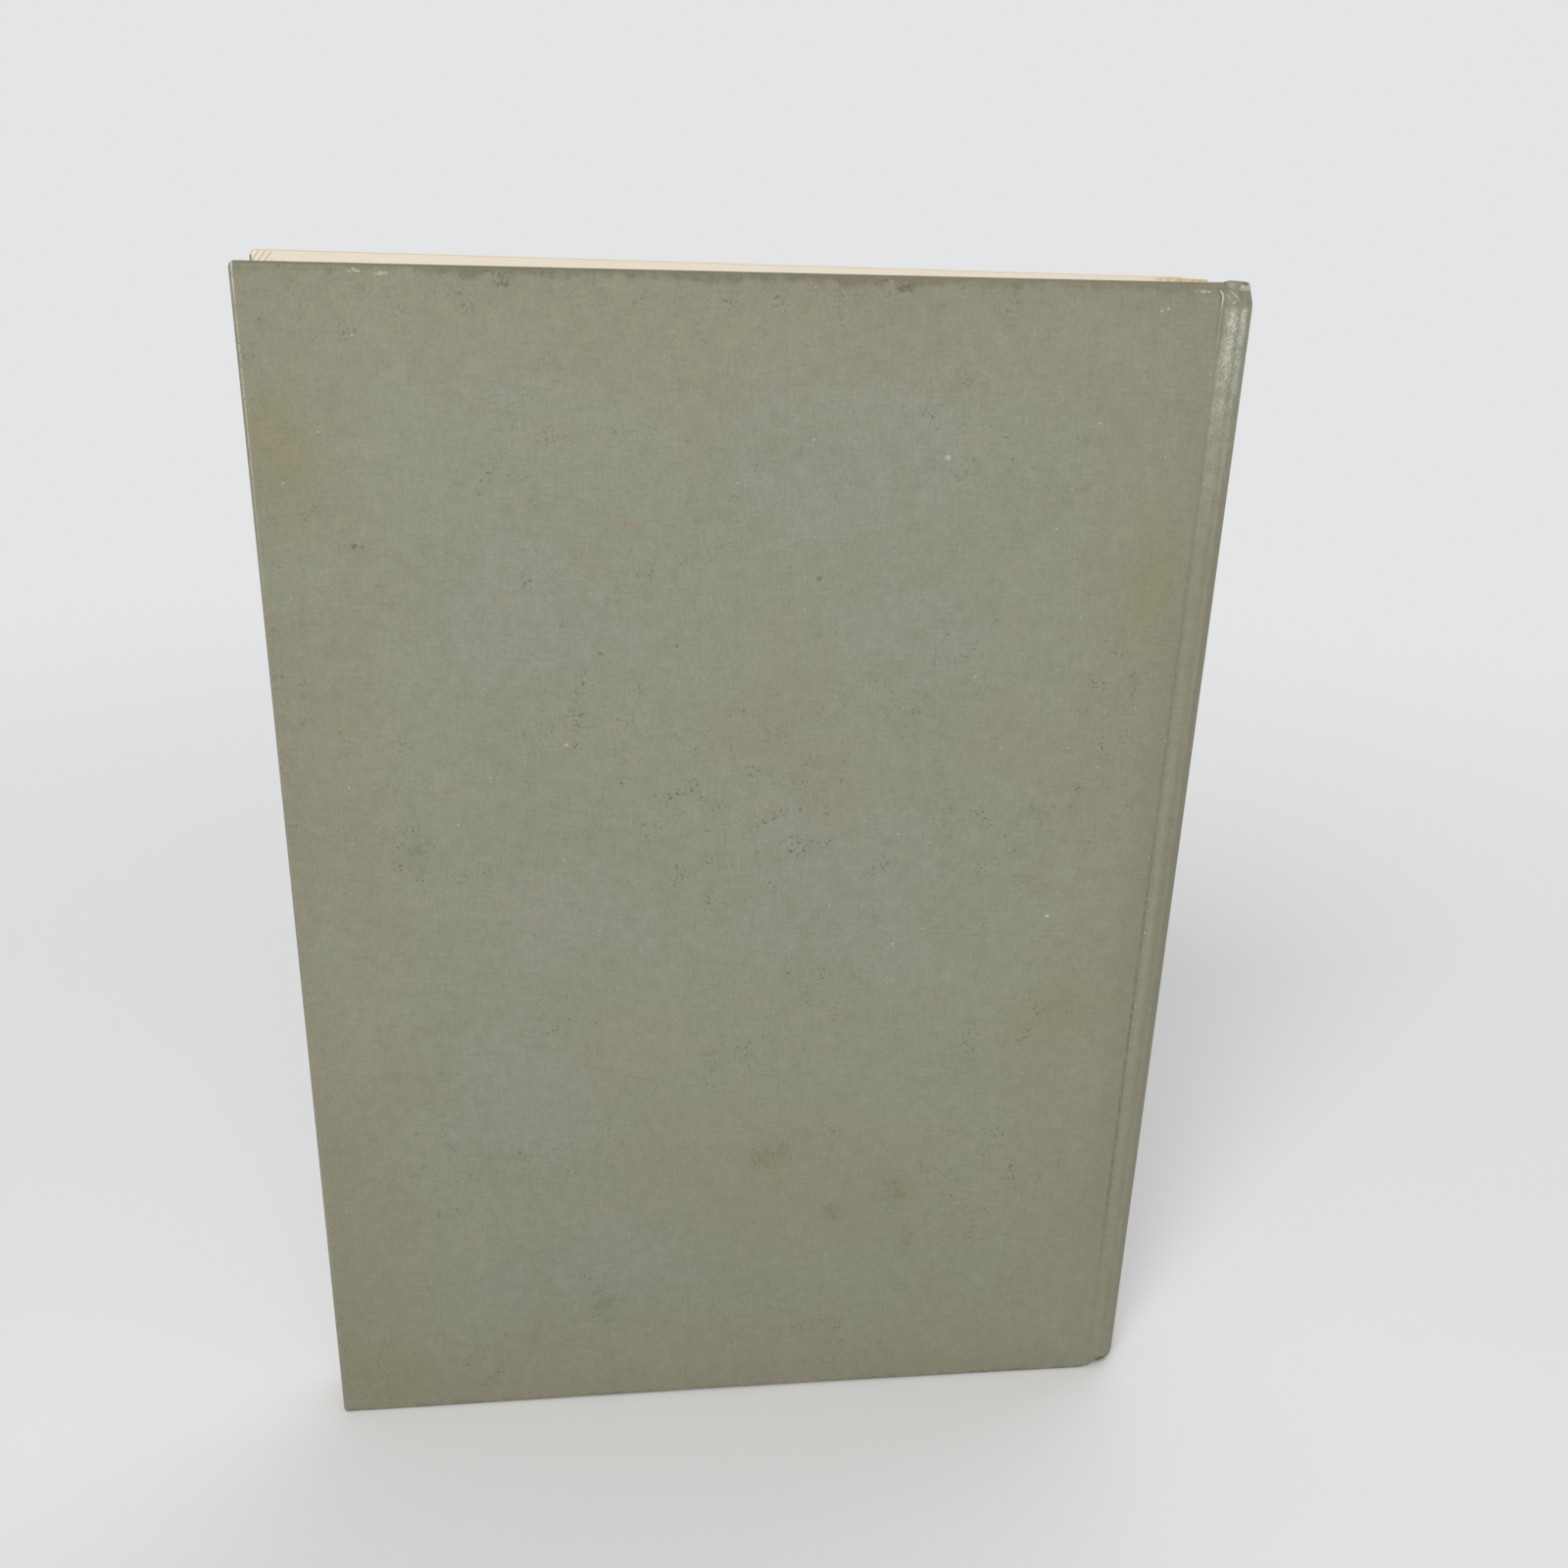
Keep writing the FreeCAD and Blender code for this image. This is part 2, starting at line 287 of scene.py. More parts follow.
def cloth_places(start, side):
    """The wires that the masks share: places on the sheet in millimetres, and clouds of several sizes."""
    sheet = stretched(start.node("ShaderNodeUVMap", uv_map="cloth"), (1 / MM, 1 / MM, 1))
    where = stretched(sheet, shift=(0, 0, CLOTH_SEED[side]))
    u, v = sheet.axis(0), sheet.axis(1)
    at_fore, at_joint = (end / MM for end in HEAD_LINE[side])
    below_head = at_fore + (at_joint - at_fore) / COVER_RUN * abs(u) - v
    joint = u - COVER_RUN
    return SimpleNamespace(
        sheet=sheet, where=where, u=u, v=v, joint=joint, below_head=below_head, below_cap=CAP_TOP / MM - v,
        inwards=u.least(v).least(below_head).least(abs(joint)),
        past_joint=joint.rise(-0.2, 0.8),
        ridge_1=joint.band(2.2, 1.5), ridge_2=joint.band(4.8, 1.4),
        large=cloudy(where, 48, 6, 0.6),
        medium=cloudy(stretched(where, shift=(200, 500, 0)), 20, 6, 0.65),
        small=cloudy(where, 3.0, 4, 0.65),
        grain=cloudy(where, 0.7, 2, 0.6),
        flecks=cloudy(stretched(where, (1, 0.7, 1), (300, 0, 0)), 1.0, 3, 0.7),
        warp=cloudy(stretched(where, (1, 0.12, 1)), 0.6, 2, 0.6),
        weft=cloudy(stretched(where, (0.12, 1, 1)), 0.6, 2, 0.6))


print("cloth run to the joint:", COVER_RUN, "mm")

# %% Colour of the cloth, with painted shade
DOT_CELL = 7


def dyed_colour_and_shade(on, marked):
    """The dye's browner border, greener middle, cool and warm patches and weave tone, darkened by painted shade.
    """
    middle = (on.inwards + 44 * (on.medium - 0.5) + 16 * (on.small - 0.5)).rise(12, 28)
    if marked:
        moved = wandering(on.sheet, 22, 46)
        waver = 4.0 * (on.medium - 0.5) + 2.0 * (on.small - 0.5)
        cool = marks(moved, COOL_PATCHES, waver, 0.6)
        warm = marks(moved, WARM_PATCHES, waver, 0.5)
        green = marks(moved, GREEN_PATCHES, waver, 0.6)
    else:
        cool = on.large.rise(0.48, 0.62)
        warm = (on.medium + 0.2 * (on.small - 0.5)).rise(0.56, 0.66)
        green = on.large.rise(0.46, 0.36)
    warm = warm.most(0.6 * (on.medium + 0.3 * (on.small - 0.5)).rise(0.58, 0.70))
    centre = (0.3 + 0.7 * cool).tint(GREEN, COOL)
    paint = (middle * (1 - 0.9 * warm)).tint(BROWN, centre)
    paint = layered(paint, (0.8, green, GREEN),
                    (0.35, cloudy(on.where, 5, 3, 0.6).rise(0.45, 0.60), BROWN),
                    (0.6, on.past_joint * on.v.rise(220, 250), GREEN))
    if marked:
        paint = layered(paint, (0.55, marks(on.sheet, OLIVE_STAINS, waver, 0.6), OLIVE))
    tone = 0.40 + 0.33 * on.small + 0.38 * on.grain + 0.18 * (on.warp + on.weft + on.medium)
    # Darker within 12 mm of the edges, and painted shade over the lower half, where the light falls off.
    edge = 0.04 * on.inwards.rise(12, 0) + 0.06 * on.v.rise(120, 0)
    # Painted shade on the board beside the joint's groove.
    beside = on.joint.rise(-8, -0.5) * on.joint.rise(0.8, 0)
    edge = edge + 0.06 * beside * on.v.rise(20, 70) * on.v.rise(215, 185)
    # Painted shade past the joint and over the spine, strongest at mid height, where it turns from the light.
    edge = edge + on.joint.rise(1.8, 3.0) * (0.03 + 0.07 * on.v.band(120, 80))
    return scaled(paint, tone * (1 - edge))


def specks_and_dots(on, marked):
    """Two masks: dark specks where the filling has lifted, in patches, and a few pale dots."""
    lifted = cloudy(stretched(on.where, shift=(400, 100, 0)), 26).rise(0.48, 0.70)
    lifted = lifted.most(0.5 * on.u.rise(15, 2) * on.v.rise(100, 200))
    lifted = lifted.most(0.7 * on.below_head.rise(14, 3) * on.u.rise(170, 120))
    if marked:
        lifted = lifted.most(marks(on.sheet, SPECK_PATCHES, 5.0 * (on.medium - 0.5), 0.4))
    clumps = cloudy(stretched(on.where, (1, 0.75, 1), (100, 600, 0)), 4.5, 3, 0.6).rise(0.52, 0.64)
    pits = cloudy(stretched(on.where, (1, 0.75, 1), (700, 200, 0)), 0.62, 3, 0.7)
    specks = (pits + 0.06 * clumps).rise(0.60, 0.66) * (0.12 + 0.3 * lifted + 0.58 * lifted * clumps)
    specks = specks * on.joint.rise(0, -9)
    cells = {"Vector": on.where, "Scale": 1 / DOT_CELL}
    gap, pick = (on.u.node("ShaderNodeTexVoronoi", cells, out, voronoi_dimensions="2D") for out in (0, 1))
    pick = on.u.node("ShaderNodeSeparateColor", {"Color": pick})
    return specks, gap.rise(0.028, 0.014) * pick.rise(0.80, 1.0) * on.v.rise(80, 150)


print("masks ready: dye, specks and dots")

# %% Wear on the boards, and a painted highlight on the front's head rim
EDGE_STITCH = 0.8


def board_wear_and_rim_light(on, paint, specks, dots, marked):
    """Specks, stains, smudges, scuffs, grime at tail and head, a tan head rim on the front, partly painted
    highlight, and the rubbed fore-edge.
    """
    paint = layered(paint, (0.85, specks, GRIME_AND_SHADE))
    if marked:
        stains = marks(on.sheet, SOFT_STAINS, 5.0 * (on.flecks - 0.5) + 4.0 * (on.small - 0.5), 0.8)
        stains = stains * (0.2 + 0.8 * on.small.rise(0.46, 0.58))
        smudges = marks(on.sheet, DARK_SMUDGES, 6.0 * (on.flecks - 0.5), 0.6)
        scuffs = marks(on.sheet, PALE_SCUFFS, 7.0 * (on.grain - 0.5), 0.6)
        paint = layered(paint, (0.3, stains, GRIME_AND_SHADE), (0.65, smudges, GRIME_AND_SHADE),
                        (0.42, scuffs, PALE_WEAR_AND_GLINT))
    paint = layered(paint, (0.75, dots, PALE_WEAR_AND_GLINT))
    ragged = 4 * (on.small - 0.5) + 4 * (on.medium - 0.5)
    rim = 0.7 * (on.v + ragged).rise(1.6, 0)
    if marked:
        along = (0.4 + 0.6 * on.u.rise(10, 40)) * (1 - 0.5 * on.u.rise(100, 170))
        rim = rim.most(along * (on.below_head + ragged).rise(2.2, 0.3))
        # A thin darker line right on the back's head edge, short of the joint.
        rim = rim.most(0.8 * on.below_head.rise(0.8, 0.3) * on.joint.rise(-1, -4))
    else:
        # The front's head rim: tan where rubbed, and lighter as a painted highlight on the edge that faces the
        # light.
        rubbed = (on.below_head + 0.4 * (on.flecks - 0.5)).rise(1.0, 0.6)
        rubbed = rubbed * (abs(on.u) - COVER_RUN).rise(1.8, 1.2)
        paint = layered(paint, (0.85, rubbed, RUBBED_AND_LIT_RIM))
    paint = layered(paint, (0.55, rim, GRIME_AND_SHADE))
    stitch = (on.v * (2 * math.pi / EDGE_STITCH)).sine()
    broken = (0.35 * stitch + 6 * (on.flecks - 0.45)).rise(-0.6, 0.4)
    bright = 0.42 * on.v.rise(185, 235) + 0.45 * on.below_head.rise(6, 3)
    fore_line = on.u.band(1.2, 0.22) * bright * broken
    worn_line = on.u.band(1.1, 0.3) * on.flecks.rise(0.56, 0.66)
    return fore_line.most(0.3 * worn_line).tint(paint, PALE_WEAR_AND_GLINT)


print("wear of the boards ready")

# %% Wear, painted shade and painted glints on the joint and the spine
TWILL_PITCH = 0.54
TWILL_SLOPE = 0.7


def painted_thread_glints(on):
    """Pale slanting strokes on the two ridges near the head: painted glints of threads that rubbing has polished.
    """
    ridges = on.ridge_1 * on.v.rise(228, 248) + on.ridge_2 * on.v.rise(230, 248)
    ridges = ridges + 0.9 * (on.ridge_1 + on.ridge_2) * on.below_cap.band(7.0, 3.4)
    flank = on.joint.band(0.4, 1.6) * on.v.band(238, 14)
    across = on.u - TWILL_SLOPE * on.v + 0.5 * on.small
    turned = on.u.node("ShaderNodeCombineXYZ", {"X": across, "Y": 0.75 * (TWILL_SLOPE * on.u + on.v)})
    slubs = cloudy(turned, 0.5, 2, 0.6)
    strokes = (0.7 * (across * (2 * math.pi / TWILL_PITCH)).sine() + 5.5 * (slubs - 0.5)).rise(0.0, 0.8)
    worn = 0.5 + 0.5 * on.small.rise(0.42, 0.56)
    rubbed = 0.85 * ridges + 0.3 * flank + 0.32 * on.past_joint * on.v.rise(200, 235)
    return rubbed * (0.2 + 0.8 * strokes) * worn * on.below_cap.rise(3.8, 5.0)


def joint_wear_and_shading(on, paint, threads):
    """Painted shade in the crease, folds, cap edge and tail notch; painted highlights and glints; frayed and bare
    wear.
    """
    flaked = (on.flecks + 0.5 * on.small).rise(0.58, 0.86)
    # Painted shade in the joint's crease, broken into dashes and stronger lower down.
    crease = (on.joint + 0.8 * (on.small - 0.5)).band(-0.2, 0.7) * flaked
    crease = crease * on.v.rise(15, 60) * (0.25 + 0.75 * on.v.rise(225, 195))
    paint = layered(paint, (0.28 + 0.25 * on.v.rise(170, 110), crease, GRIME_AND_SHADE))
    below = on.below_cap
    bent = on.joint + 0.7 * below.rise(2.6, 1.2)
    start = below.rise(1.2, 1.8)
    near_head = start * (0.22 * on.v.rise(245, 250) + 0.78 * below.rise(5.0, 3.0))
    # Painted shade: a dark line beside the crease by the head, where the cloth folds.
    paint = layered(paint, (0.5, bent.band(-0.85, 0.35) * near_head, GRIME_AND_SHADE))
    # Painted highlight on the edge of that fold.
    pale_crease = bent.band(-0.4, 0.30) * near_head
    frayed = on.joint.band(0.5, 0.5) * on.v.band(115, 50) * on.flecks.rise(0.55, 0.64)
    # Painted highlight: a faint lighter band on the first ridge past the crease.
    soft_line = on.joint.band(1.4, 0.5) * on.v.band(120, 100)
    # Painted highlights along two short folds below the head.
    bowed = on.joint + 0.16 * below * below
    long_fold = (bowed - 1.9 * below).band(-1.4, 0.30) * below.band(2.4, 1.8)
    short_fold = (bowed - 1.6 * below).band(-2.2, 0.26) * below.band(2.6, 1.0)
    # The pale marks: painted highlights on the crease and folds, frayed wear, and the painted glints.
    pale = 0.85 * pale_crease + 0.5 * frayed + 0.05 * soft_line + 0.9 * threads
    pale = pale + 0.5 * long_fold + 0.45 * short_fold
    on_cap = on.joint.rise(2.6, 3.4)
    bare = on_cap * (below + 1.6 * (on.flecks - 0.5)).rise(1.7, 1.1)
    bare = 0.8 * bare * on.grain.rise(0.38, 0.50)
    bare = bare.most(0.35 * on.joint.band(1.0, 1.4) * below.rise(1.2, 0.6))
    # Painted shade in the notch at the tail of the joint, where the cloth sinks in.
    wedge = (on.v - 0.12 * on.joint).band(1.9, 1.1)
    notch = on.joint.rise(1.4, 2.6) * on.joint.rise(7.2, 5.6) * wedge
    # Pale marks and the bare cap, then painted shadow along the cap's top edge and painted shade in the notch.
    return layered(paint, (1, pale.least(0.9), PALE_WEAR_AND_GLINT), (1, bare, BARE),
                   (0.8, on_cap * below.rise(0.45, 0.2), GRIME_AND_SHADE),
                   (0.9, notch.rise(0.1, 0.8), GRIME_AND_SHADE))


print("wear of the joint ready")

# %% The cloth's surface
THREAD_PITCH = 0.42
WEAVE_RELIEF = 0.07 * MM
CLOTH_SHINE = 0.42


def cloth_shade(start, side, marked):
    """The cloth of one half of the case; marked lays the listed patches and marks on it."""
    on = cloth_places(start, side)
    specks, dots = specks_and_dots(on, marked)
    # Painted glints: pale strokes standing for light off the polished threads; they also raise the bump.
    threads = painted_thread_glints(on)
    paint = board_wear_and_rim_light(on, dyed_colour_and_shade(on, marked), specks, dots, marked)
    paint = joint_wear_and_shading(on, paint, threads)
    polish = (on.ridge_1 + on.ridge_2) * (0.35 + 0.65 * on.v.rise(205, 238))
    roughness = 0.66 + 0.16 * (on.small - 0.5) - 0.24 * polish
    turn = math.pi / THREAD_PITCH
    weave = (on.u * turn).sine() * (on.v * turn).sine()
    height = (0.22 + 0.55 * on.past_joint) * (0.5 + 0.5 * weave) + 0.5 * on.small + 0.4 * on.grain
    height = height + 0.3 * (on.warp + on.weft) - 0.5 * specks + 0.8 * threads
    return matt(paint, roughness, height, WEAVE_RELIEF, shine=CLOTH_SHINE)


book_cloth = {side: material(f"book_cloth_{side}", cloth_shade, side, side == "back") for side in SIDES}
for made in book_cloth.values():
    print(made.name, len(made.node_tree.nodes), "nodes")

# %% [markdown]
# ## The case
#
# The cloth runs over the board, dips into the joint, rises over two soft ridges and goes round the spine.
# A sheet could be wrapped round the solids, but the section across the book hardly changes from tail to
# head, so it is simpler to draw that section once and stack it. Each level is a ring of points, and levels
# close to the two ends shrink so that the edges come out round. A ring has an outer and an inner line:
# over the board they are a board apart, past the board's edge one cloth apart.
#
# A cover and the spine turn against each other, so the case is made in two halves that meet on the middle
# of the spine. Each half reaches across its own joint, and a short last step on the spine keeps the shading
# even where they meet.

# %% The section across the case
EDGE_ROUND = 0.85 * MM
EDGE_STEPS = 6
CLOTH = 0.35 * MM
BOARD_INSET = 0.37 * MM
SPINE_WALL = 1.3 * MM
SPINE_STEPS = 20
SPINE_LAST = (0.02, 0.004, 0.0)
WALL_RUN = 0.25
TURN_IN = 15 * MM
SHOULDER_RUN = 4.0 * MM
CORNER_ROUND = 0.45 * MM
FACE_FROM = 1.5 * MM
FACE_STEPS = 24
NEAR_JOINT = 6 * MM
NEAR_STEPS = 8
BOARD_STEPS = 4
PAST_BOARD = 0.01 * MM
JOINT_STEPS = 30
JOINT_SHAPE = ((-0.8, 0.0), (0.4, -0.26), (2.3, -0.08), (3.7, -0.44), (4.3, -0.36))
spine_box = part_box("spine_cloth")
SPINE_X = spine_box[1].x
SPINE_HALF = spine_box[1].y
SPINE_RADIUS = (SPINE_HALF ** 2 + SHOULDER_RUN ** 2) / (2 * SHOULDER_RUN)
SPINE_CENTRE = SPINE_X - SPINE_RADIUS


def smooth(share):
    """The smooth step from 0 to 1."""
    share = np.clip(share, 0, 1)
    return share * share * (3 - 2 * share)


def case_sizes(side):
    """The cover's own places, read from the frame: fore-edge, crease, and the two faces of the cover."""
    low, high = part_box(f"{side}_cloth")
    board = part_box(f"{side}_board")[1].x
    inside, face = sorted((abs(low.y), abs(high.y)))
    return SimpleNamespace(fore=low.x, board=board, crease=board + BOARD_INSET, face=face, inside=inside)


def joint_depth(x, size):
    """How far the cloth's outer face is from the middle plane, across the joint."""
    stops = [(size.crease + dx * MM, size.face + dd * MM) for dx, dd in JOINT_SHAPE]
    for (x0, d0), (x1, d1) in zip(stops, stops[1:]):
        if x <= x1:
            return d0 + (d1 - d0) * float(smooth((x - x0) / (x1 - x0)))
    return stops[-1][1]


def case_section(size):
    """The outer line of half the case, as rows of place, outward direction and wall, fore-edge to spine."""
    rows = []
    face, fore, inside, board = size.face, size.fore, size.inside, size.board
    for angle in np.linspace(0, math.pi / 2, EDGE_STEPS + 1):
        place = (fore + EDGE_ROUND * (1 - math.cos(angle)), face - EDGE_ROUND * (1 - math.sin(angle)))
        rows.append((place, (0, 1), place[1] - inside))
    joint_start, joint_end = (size.crease + JOINT_SHAPE[end][0] * MM for end in (0, -1))
    near_joint = joint_start - NEAR_JOINT
    for x in (*np.linspace(fore + FACE_FROM, near_joint, FACE_STEPS),
              *np.linspace(near_joint, joint_start, NEAR_STEPS)[1:],
              *np.linspace(joint_start, board, BOARD_STEPS)[1:],
              *np.linspace(board + PAST_BOARD, joint_end, JOINT_STEPS)):
        depth = joint_depth(x, size)
        rows.append(((x, depth), (0, 1), CLOTH if x > board else depth - inside))
    reach = math.acos((joint_end - SPINE_CENTRE) / SPINE_RADIUS)
    first = math.hypot(joint_end - SPINE_CENTRE, joint_depth(joint_end, size))
    for angle in (*np.linspace(reach, SPINE_LAST[0], SPINE_STEPS)[1:], *SPINE_LAST[1:]):
        radius = SPINE_RADIUS + (first - SPINE_RADIUS) * angle / reach
        outward = (math.cos(angle), math.sin(angle))
        wall = CLOTH + (SPINE_WALL - CLOTH) * float(smooth((reach - angle) / (WALL_RUN * reach)))
        rows.append(((SPINE_CENTRE + radius * outward[0], radius * outward[1]), outward, wall))
    return rows


print("section points:", len(case_section(case_sizes("back"))))

# %% Closed meshes
SHARP_EDGE = 50


def softened(mesh, sharp):
    """Shade a mesh smooth but for edges sharper than an angle in degrees."""
    mesh.polygons.foreach_set("use_smooth", [True] * len(mesh.polygons))
    mesh.set_sharp_from_angle(angle=math.radians(sharp))


def closed_mesh(name, points, faces, chart=None):
    """A new object from points and faces, turned outwards, smooth but for its sharp edges."""
    mesh = bpy.data.meshes.new(name)
    mesh.from_pydata(points, [], faces)
    if chart:
        layer = mesh.uv_layers.new(name="cloth")
        for face in mesh.polygons:
            corners = [chart[vertex] for vertex in face.vertices]
            across_edge = min(u for u, v in corners) < 0 < max(u for u, v in corners)
            for loop, (u, v) in zip(face.loop_indices, corners):
                layer.data[loop].uv = (abs(u) if across_edge else u, v)
    work = bmesh.new()
    work.from_mesh(mesh)
    bmesh.ops.recalc_face_normals(work, faces=work.faces)
    work.to_mesh(mesh)
    work.free()
    softened(mesh, SHARP_EDGE)
    flat = mesh.attributes.new("place", "FLOAT_VECTOR", "POINT")
    flat.data.foreach_set("vector", [value for vertex in mesh.vertices for value in vertex.co])
    return linked(name, mesh)


def upright(first, second, low, high):
    """A ring of four points: two places seen from above, each at a low and a high level."""
    return [(*first, low), (*second, low), (*second, high), (*first, high)]


def ring_mesh(name, rings):
    """A closed mesh through a row of rings of four points."""
    points = [point for ring in rings for point in ring]
    last = len(points) - 4
    faces = [(0, 1, 2, 3), (last, last + 1, last + 2, last + 3)]
    for n in range(0, last, 4):
        for k in range(4):
            after = (k + 1) % 4
            faces.append((n + k, n + after, n + 4 + after, n + 4 + k))
    return closed_mesh(name, points, faces)


def dressed(made, finish, slot, *nodes):
    """Give a piece its finish and hide the solids that it stands for; slot is not used."""
    made.data.materials.append(finish)
    if nodes:
        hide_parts(*nodes)
    return made


print("mesh makers ready")

# %% The case halves
HEAD_CAP = {"depth": 1.0 * MM, "run": 4.6 * MM, "on_joint": 0.35}
HEAD_SAG = {"back": 0.0, "front": 0.8 * MM}
TAIL_CAP = {"round": 2.3 * MM, "lift": 1.35 * MM, "spine": 0.5 * MM, "dent": 0.5 * MM, "run": 2.8 * MM,
            "bow": 0.4 * MM, "step": 0.2 * MM}
CAP_LEVELS = (1.0, 1.5, 2.1, 2.9, 3.8, 5, 7, 10, 14.98, 15.02)
LEVEL_STEPS = 24
MID_CLEAR = 16 * MM
ROUNDING = (0.0, 0.35, 0.7, 1.0)
RIDGES_FROM = 190 * MM
RIDGES_FULL = 245 * MM
RIDGES_LEAST = 0.5
CHANGES = {"cap": (-5.0, 4.5), "sag": (1.5, 0.9), "recover": (4, 3), "lift": (-2.6, 4.6),
           "step": (-0.6, 0.6), "settle": (3, 4), "spine": (3, 3), "joint": (-0.3, 1.5),
           "pucker": (-0.5, 1.5)}
BOW_MIDDLE = 0.55
BOW_HALF = 0.45
WALL_ROUND = 0.45
PUCKER_CLEAR = 1.5 * MM
PUCKER_ACROSS = 0.4
PUCKER_SIZE = 3.5 * MM
PUCKER_DEPTH = 0.05 * MM


def eased(past, change):
    """The smooth step of a named change: where it starts past the crease and its run, in millimetres."""
    start, run = CHANGES[change]
    return smooth((past - start) / run)


def case_ends(side, size, x):
    """Tail and head height of the case at places along X."""
    share = (x - size.fore) / (size.crease - size.fore)
    past = (x - size.crease) / MM
    at_fore, at_joint = HEAD_LINE[side]
    head = at_fore + (at_joint - at_fore) * np.clip(share, 0, 1)
    head = head + (CAP_TOP - head) * eased(past, "cap")
    head = head - HEAD_SAG[side] * eased(past, "sag") * (1 - eased(past, "recover"))
    tail = TAIL_CAP["bow"] * np.clip(1 - ((share - BOW_MIDDLE) / BOW_HALF) ** 2, 0, 1)
    tail = tail + TAIL_CAP["lift"] * eased(past, "lift")
    tail = tail + TAIL_CAP["step"] * eased(past, "step")
    tail = tail + (TAIL_CAP["spine"] - TAIL_CAP["lift"]) * eased(past, "settle")
    near_fore = np.clip(1 - (x - size.fore) / CORNER_ROUND, 0, 1)
    corner = CORNER_ROUND * (1 - np.sqrt(1 - near_fore ** 2))
    return tail + corner, head - corner


def case_sink(face, past, depth, up, down, height):
    """How far the cloth sinks: at the ends of spine and joint, and where the joint's ridges fade."""
    on_spine = eased(past, "spine")
    on_joint = eased(past, "joint") * (1 - on_spine)
    head = HEAD_CAP["depth"] * smooth(1 - down / HEAD_CAP["run"])
    inside = np.clip(1 - up / TAIL_CAP["round"], 0, 1)
    tail = TAIL_CAP["round"] * (1 - np.sqrt(1 - inside ** 2))
    dent = TAIL_CAP["dent"] * smooth(1 - up / TAIL_CAP["run"])
    (x0, d0), (x1, d1) = JOINT_SHAPE[0], JOINT_SHAPE[-1]
    slope = (past - x0) / (x1 - x0)
    plain = face + (d0 + (d1 - d0) * np.clip(slope, 0, 1)) * MM
    growth = smooth((height - RIDGES_FROM) / (RIDGES_FULL - RIDGES_FROM))
    ridged = RIDGES_LEAST + (1 - RIDGES_LEAST) * growth
    faded = np.where((slope > 0) & (slope < 1), (1 - ridged) * (depth - plain), 0)
    return on_spine * (head + tail) + on_joint * (dent + HEAD_CAP["on_joint"] * head) + faded


def case_levels(tail, head):
    """Levels from tail to head: a height, and the shares of the rounding that narrow it and move it in."""
    turns = [math.pi / 2 * step for step in ROUNDING]
    curl = [(1 - math.sin(turn), 1 - math.cos(turn)) for turn in turns]
    yield from ((tail, *shares) for shares in curl)
    yield from ((tail + height * MM, 0, 0) for height in CAP_LEVELS)
    for share in np.linspace(0, 1, LEVEL_STEPS)[1:-1]:
        yield tail + MID_CLEAR + (head - tail - 2 * MID_CLEAR) * share, 0, 0
    yield from ((head - height * MM, 0, 0) for height in reversed(CAP_LEVELS))
    yield from ((head, *shares) for shares in reversed(curl))


def case_half(side):
    """The points, faces and cloth places of one half of the case."""
    size = case_sizes(side)
    rows = case_section(size)
    place, outward, full_wall = (np.array(column) for column in zip(*rows))
    x, depth = place.T
    past = (x - size.crease) / MM
    soft = eased(past, "pucker") * smooth((SPINE_X - x) / PUCKER_CLEAR)
    count = len(rows)
    run = np.concatenate([[0], np.cumsum(np.linalg.norm(np.diff(place, axis=0), axis=1))])
    tail, head = case_ends(side, size, x)
    middle = (tail + head) / 2
    points, chart = [], []
    for level, narrow, inset in case_levels(tail, head):
        near_end = np.minimum(level - tail, head - level) < TURN_IN
        wall = np.where(~near_end & (x > size.board), CLOTH, full_wall)
        round_here = np.minimum(EDGE_ROUND, WALL_ROUND * wall)
        shrink = round_here * narrow
        height = level + np.where(level < middle, 1, -1) * round_here * inset
        sunk = case_sink(size.face, past, depth, height - tail, head - height, height)
        pucker = [noise.noise(Vector((a * PUCKER_ACROSS, b, z)) / PUCKER_SIZE)
                  for (a, b), z in zip(place, height)]
        sunk = sunk - PUCKER_DEPTH * soft * np.array(pucker)
        fore_in = shrink * np.clip(1 - (x - size.fore) / EDGE_ROUND, 0, 1)
        outer = place - outward * (shrink + sunk)[:, None]
        inner = place - outward * (wall - shrink + sunk)[:, None]
        for line, way in ((outer, 1), (inner, -1)):
            for (a, b), z, shift, along in zip(line, height, fore_in, run):
                points.append((a + shift, SIDES[side] * b, z))
                chart.append((way * along, z))
    faces = []
    ring = [*range(count), *range(2 * count - 1, count - 1, -1)]
    top = len(points) - len(ring)
    for low in range(0, top, len(ring)):
        high = low + len(ring)
        for a, b in zip(ring, ring[1:] + ring[:1]):
            faces.append((low + a, low + b, high + b, high + a))
    for end in (0, top):
        faces += [(j, j + 1, j + count + 1, j + count) for j in range(end, end + count - 1)]
    return points, faces, chart


def bend_at_joint(made):
    """Bake a piece's transform into its mesh."""
    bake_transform(made)


for side in SIDES:
    case = closed_mesh(f"{side}_case", *case_half(side))
    dressed(case, book_cloth[side], "book_cloth", f"{side}_cloth", "spine_cloth")
    bend_at_joint(case)
    print(case.name, len(case.data.polygons), "faces")

# %% [markdown]
# ## Boards, card, gauze, tapes and thread
#
# What holds the book together is hidden: pulp boards under the cloth, a card strip in the spine, and behind
# the folds a brown paper lining, open gauze, woven tapes and waxed thread. One shade function does them
# all: a colour with cloudy fibres, and where the stuff is woven, two sets of threads crossing.

# %% The hidden finishes
FIBRE_RELIEF = 0.08 * MM


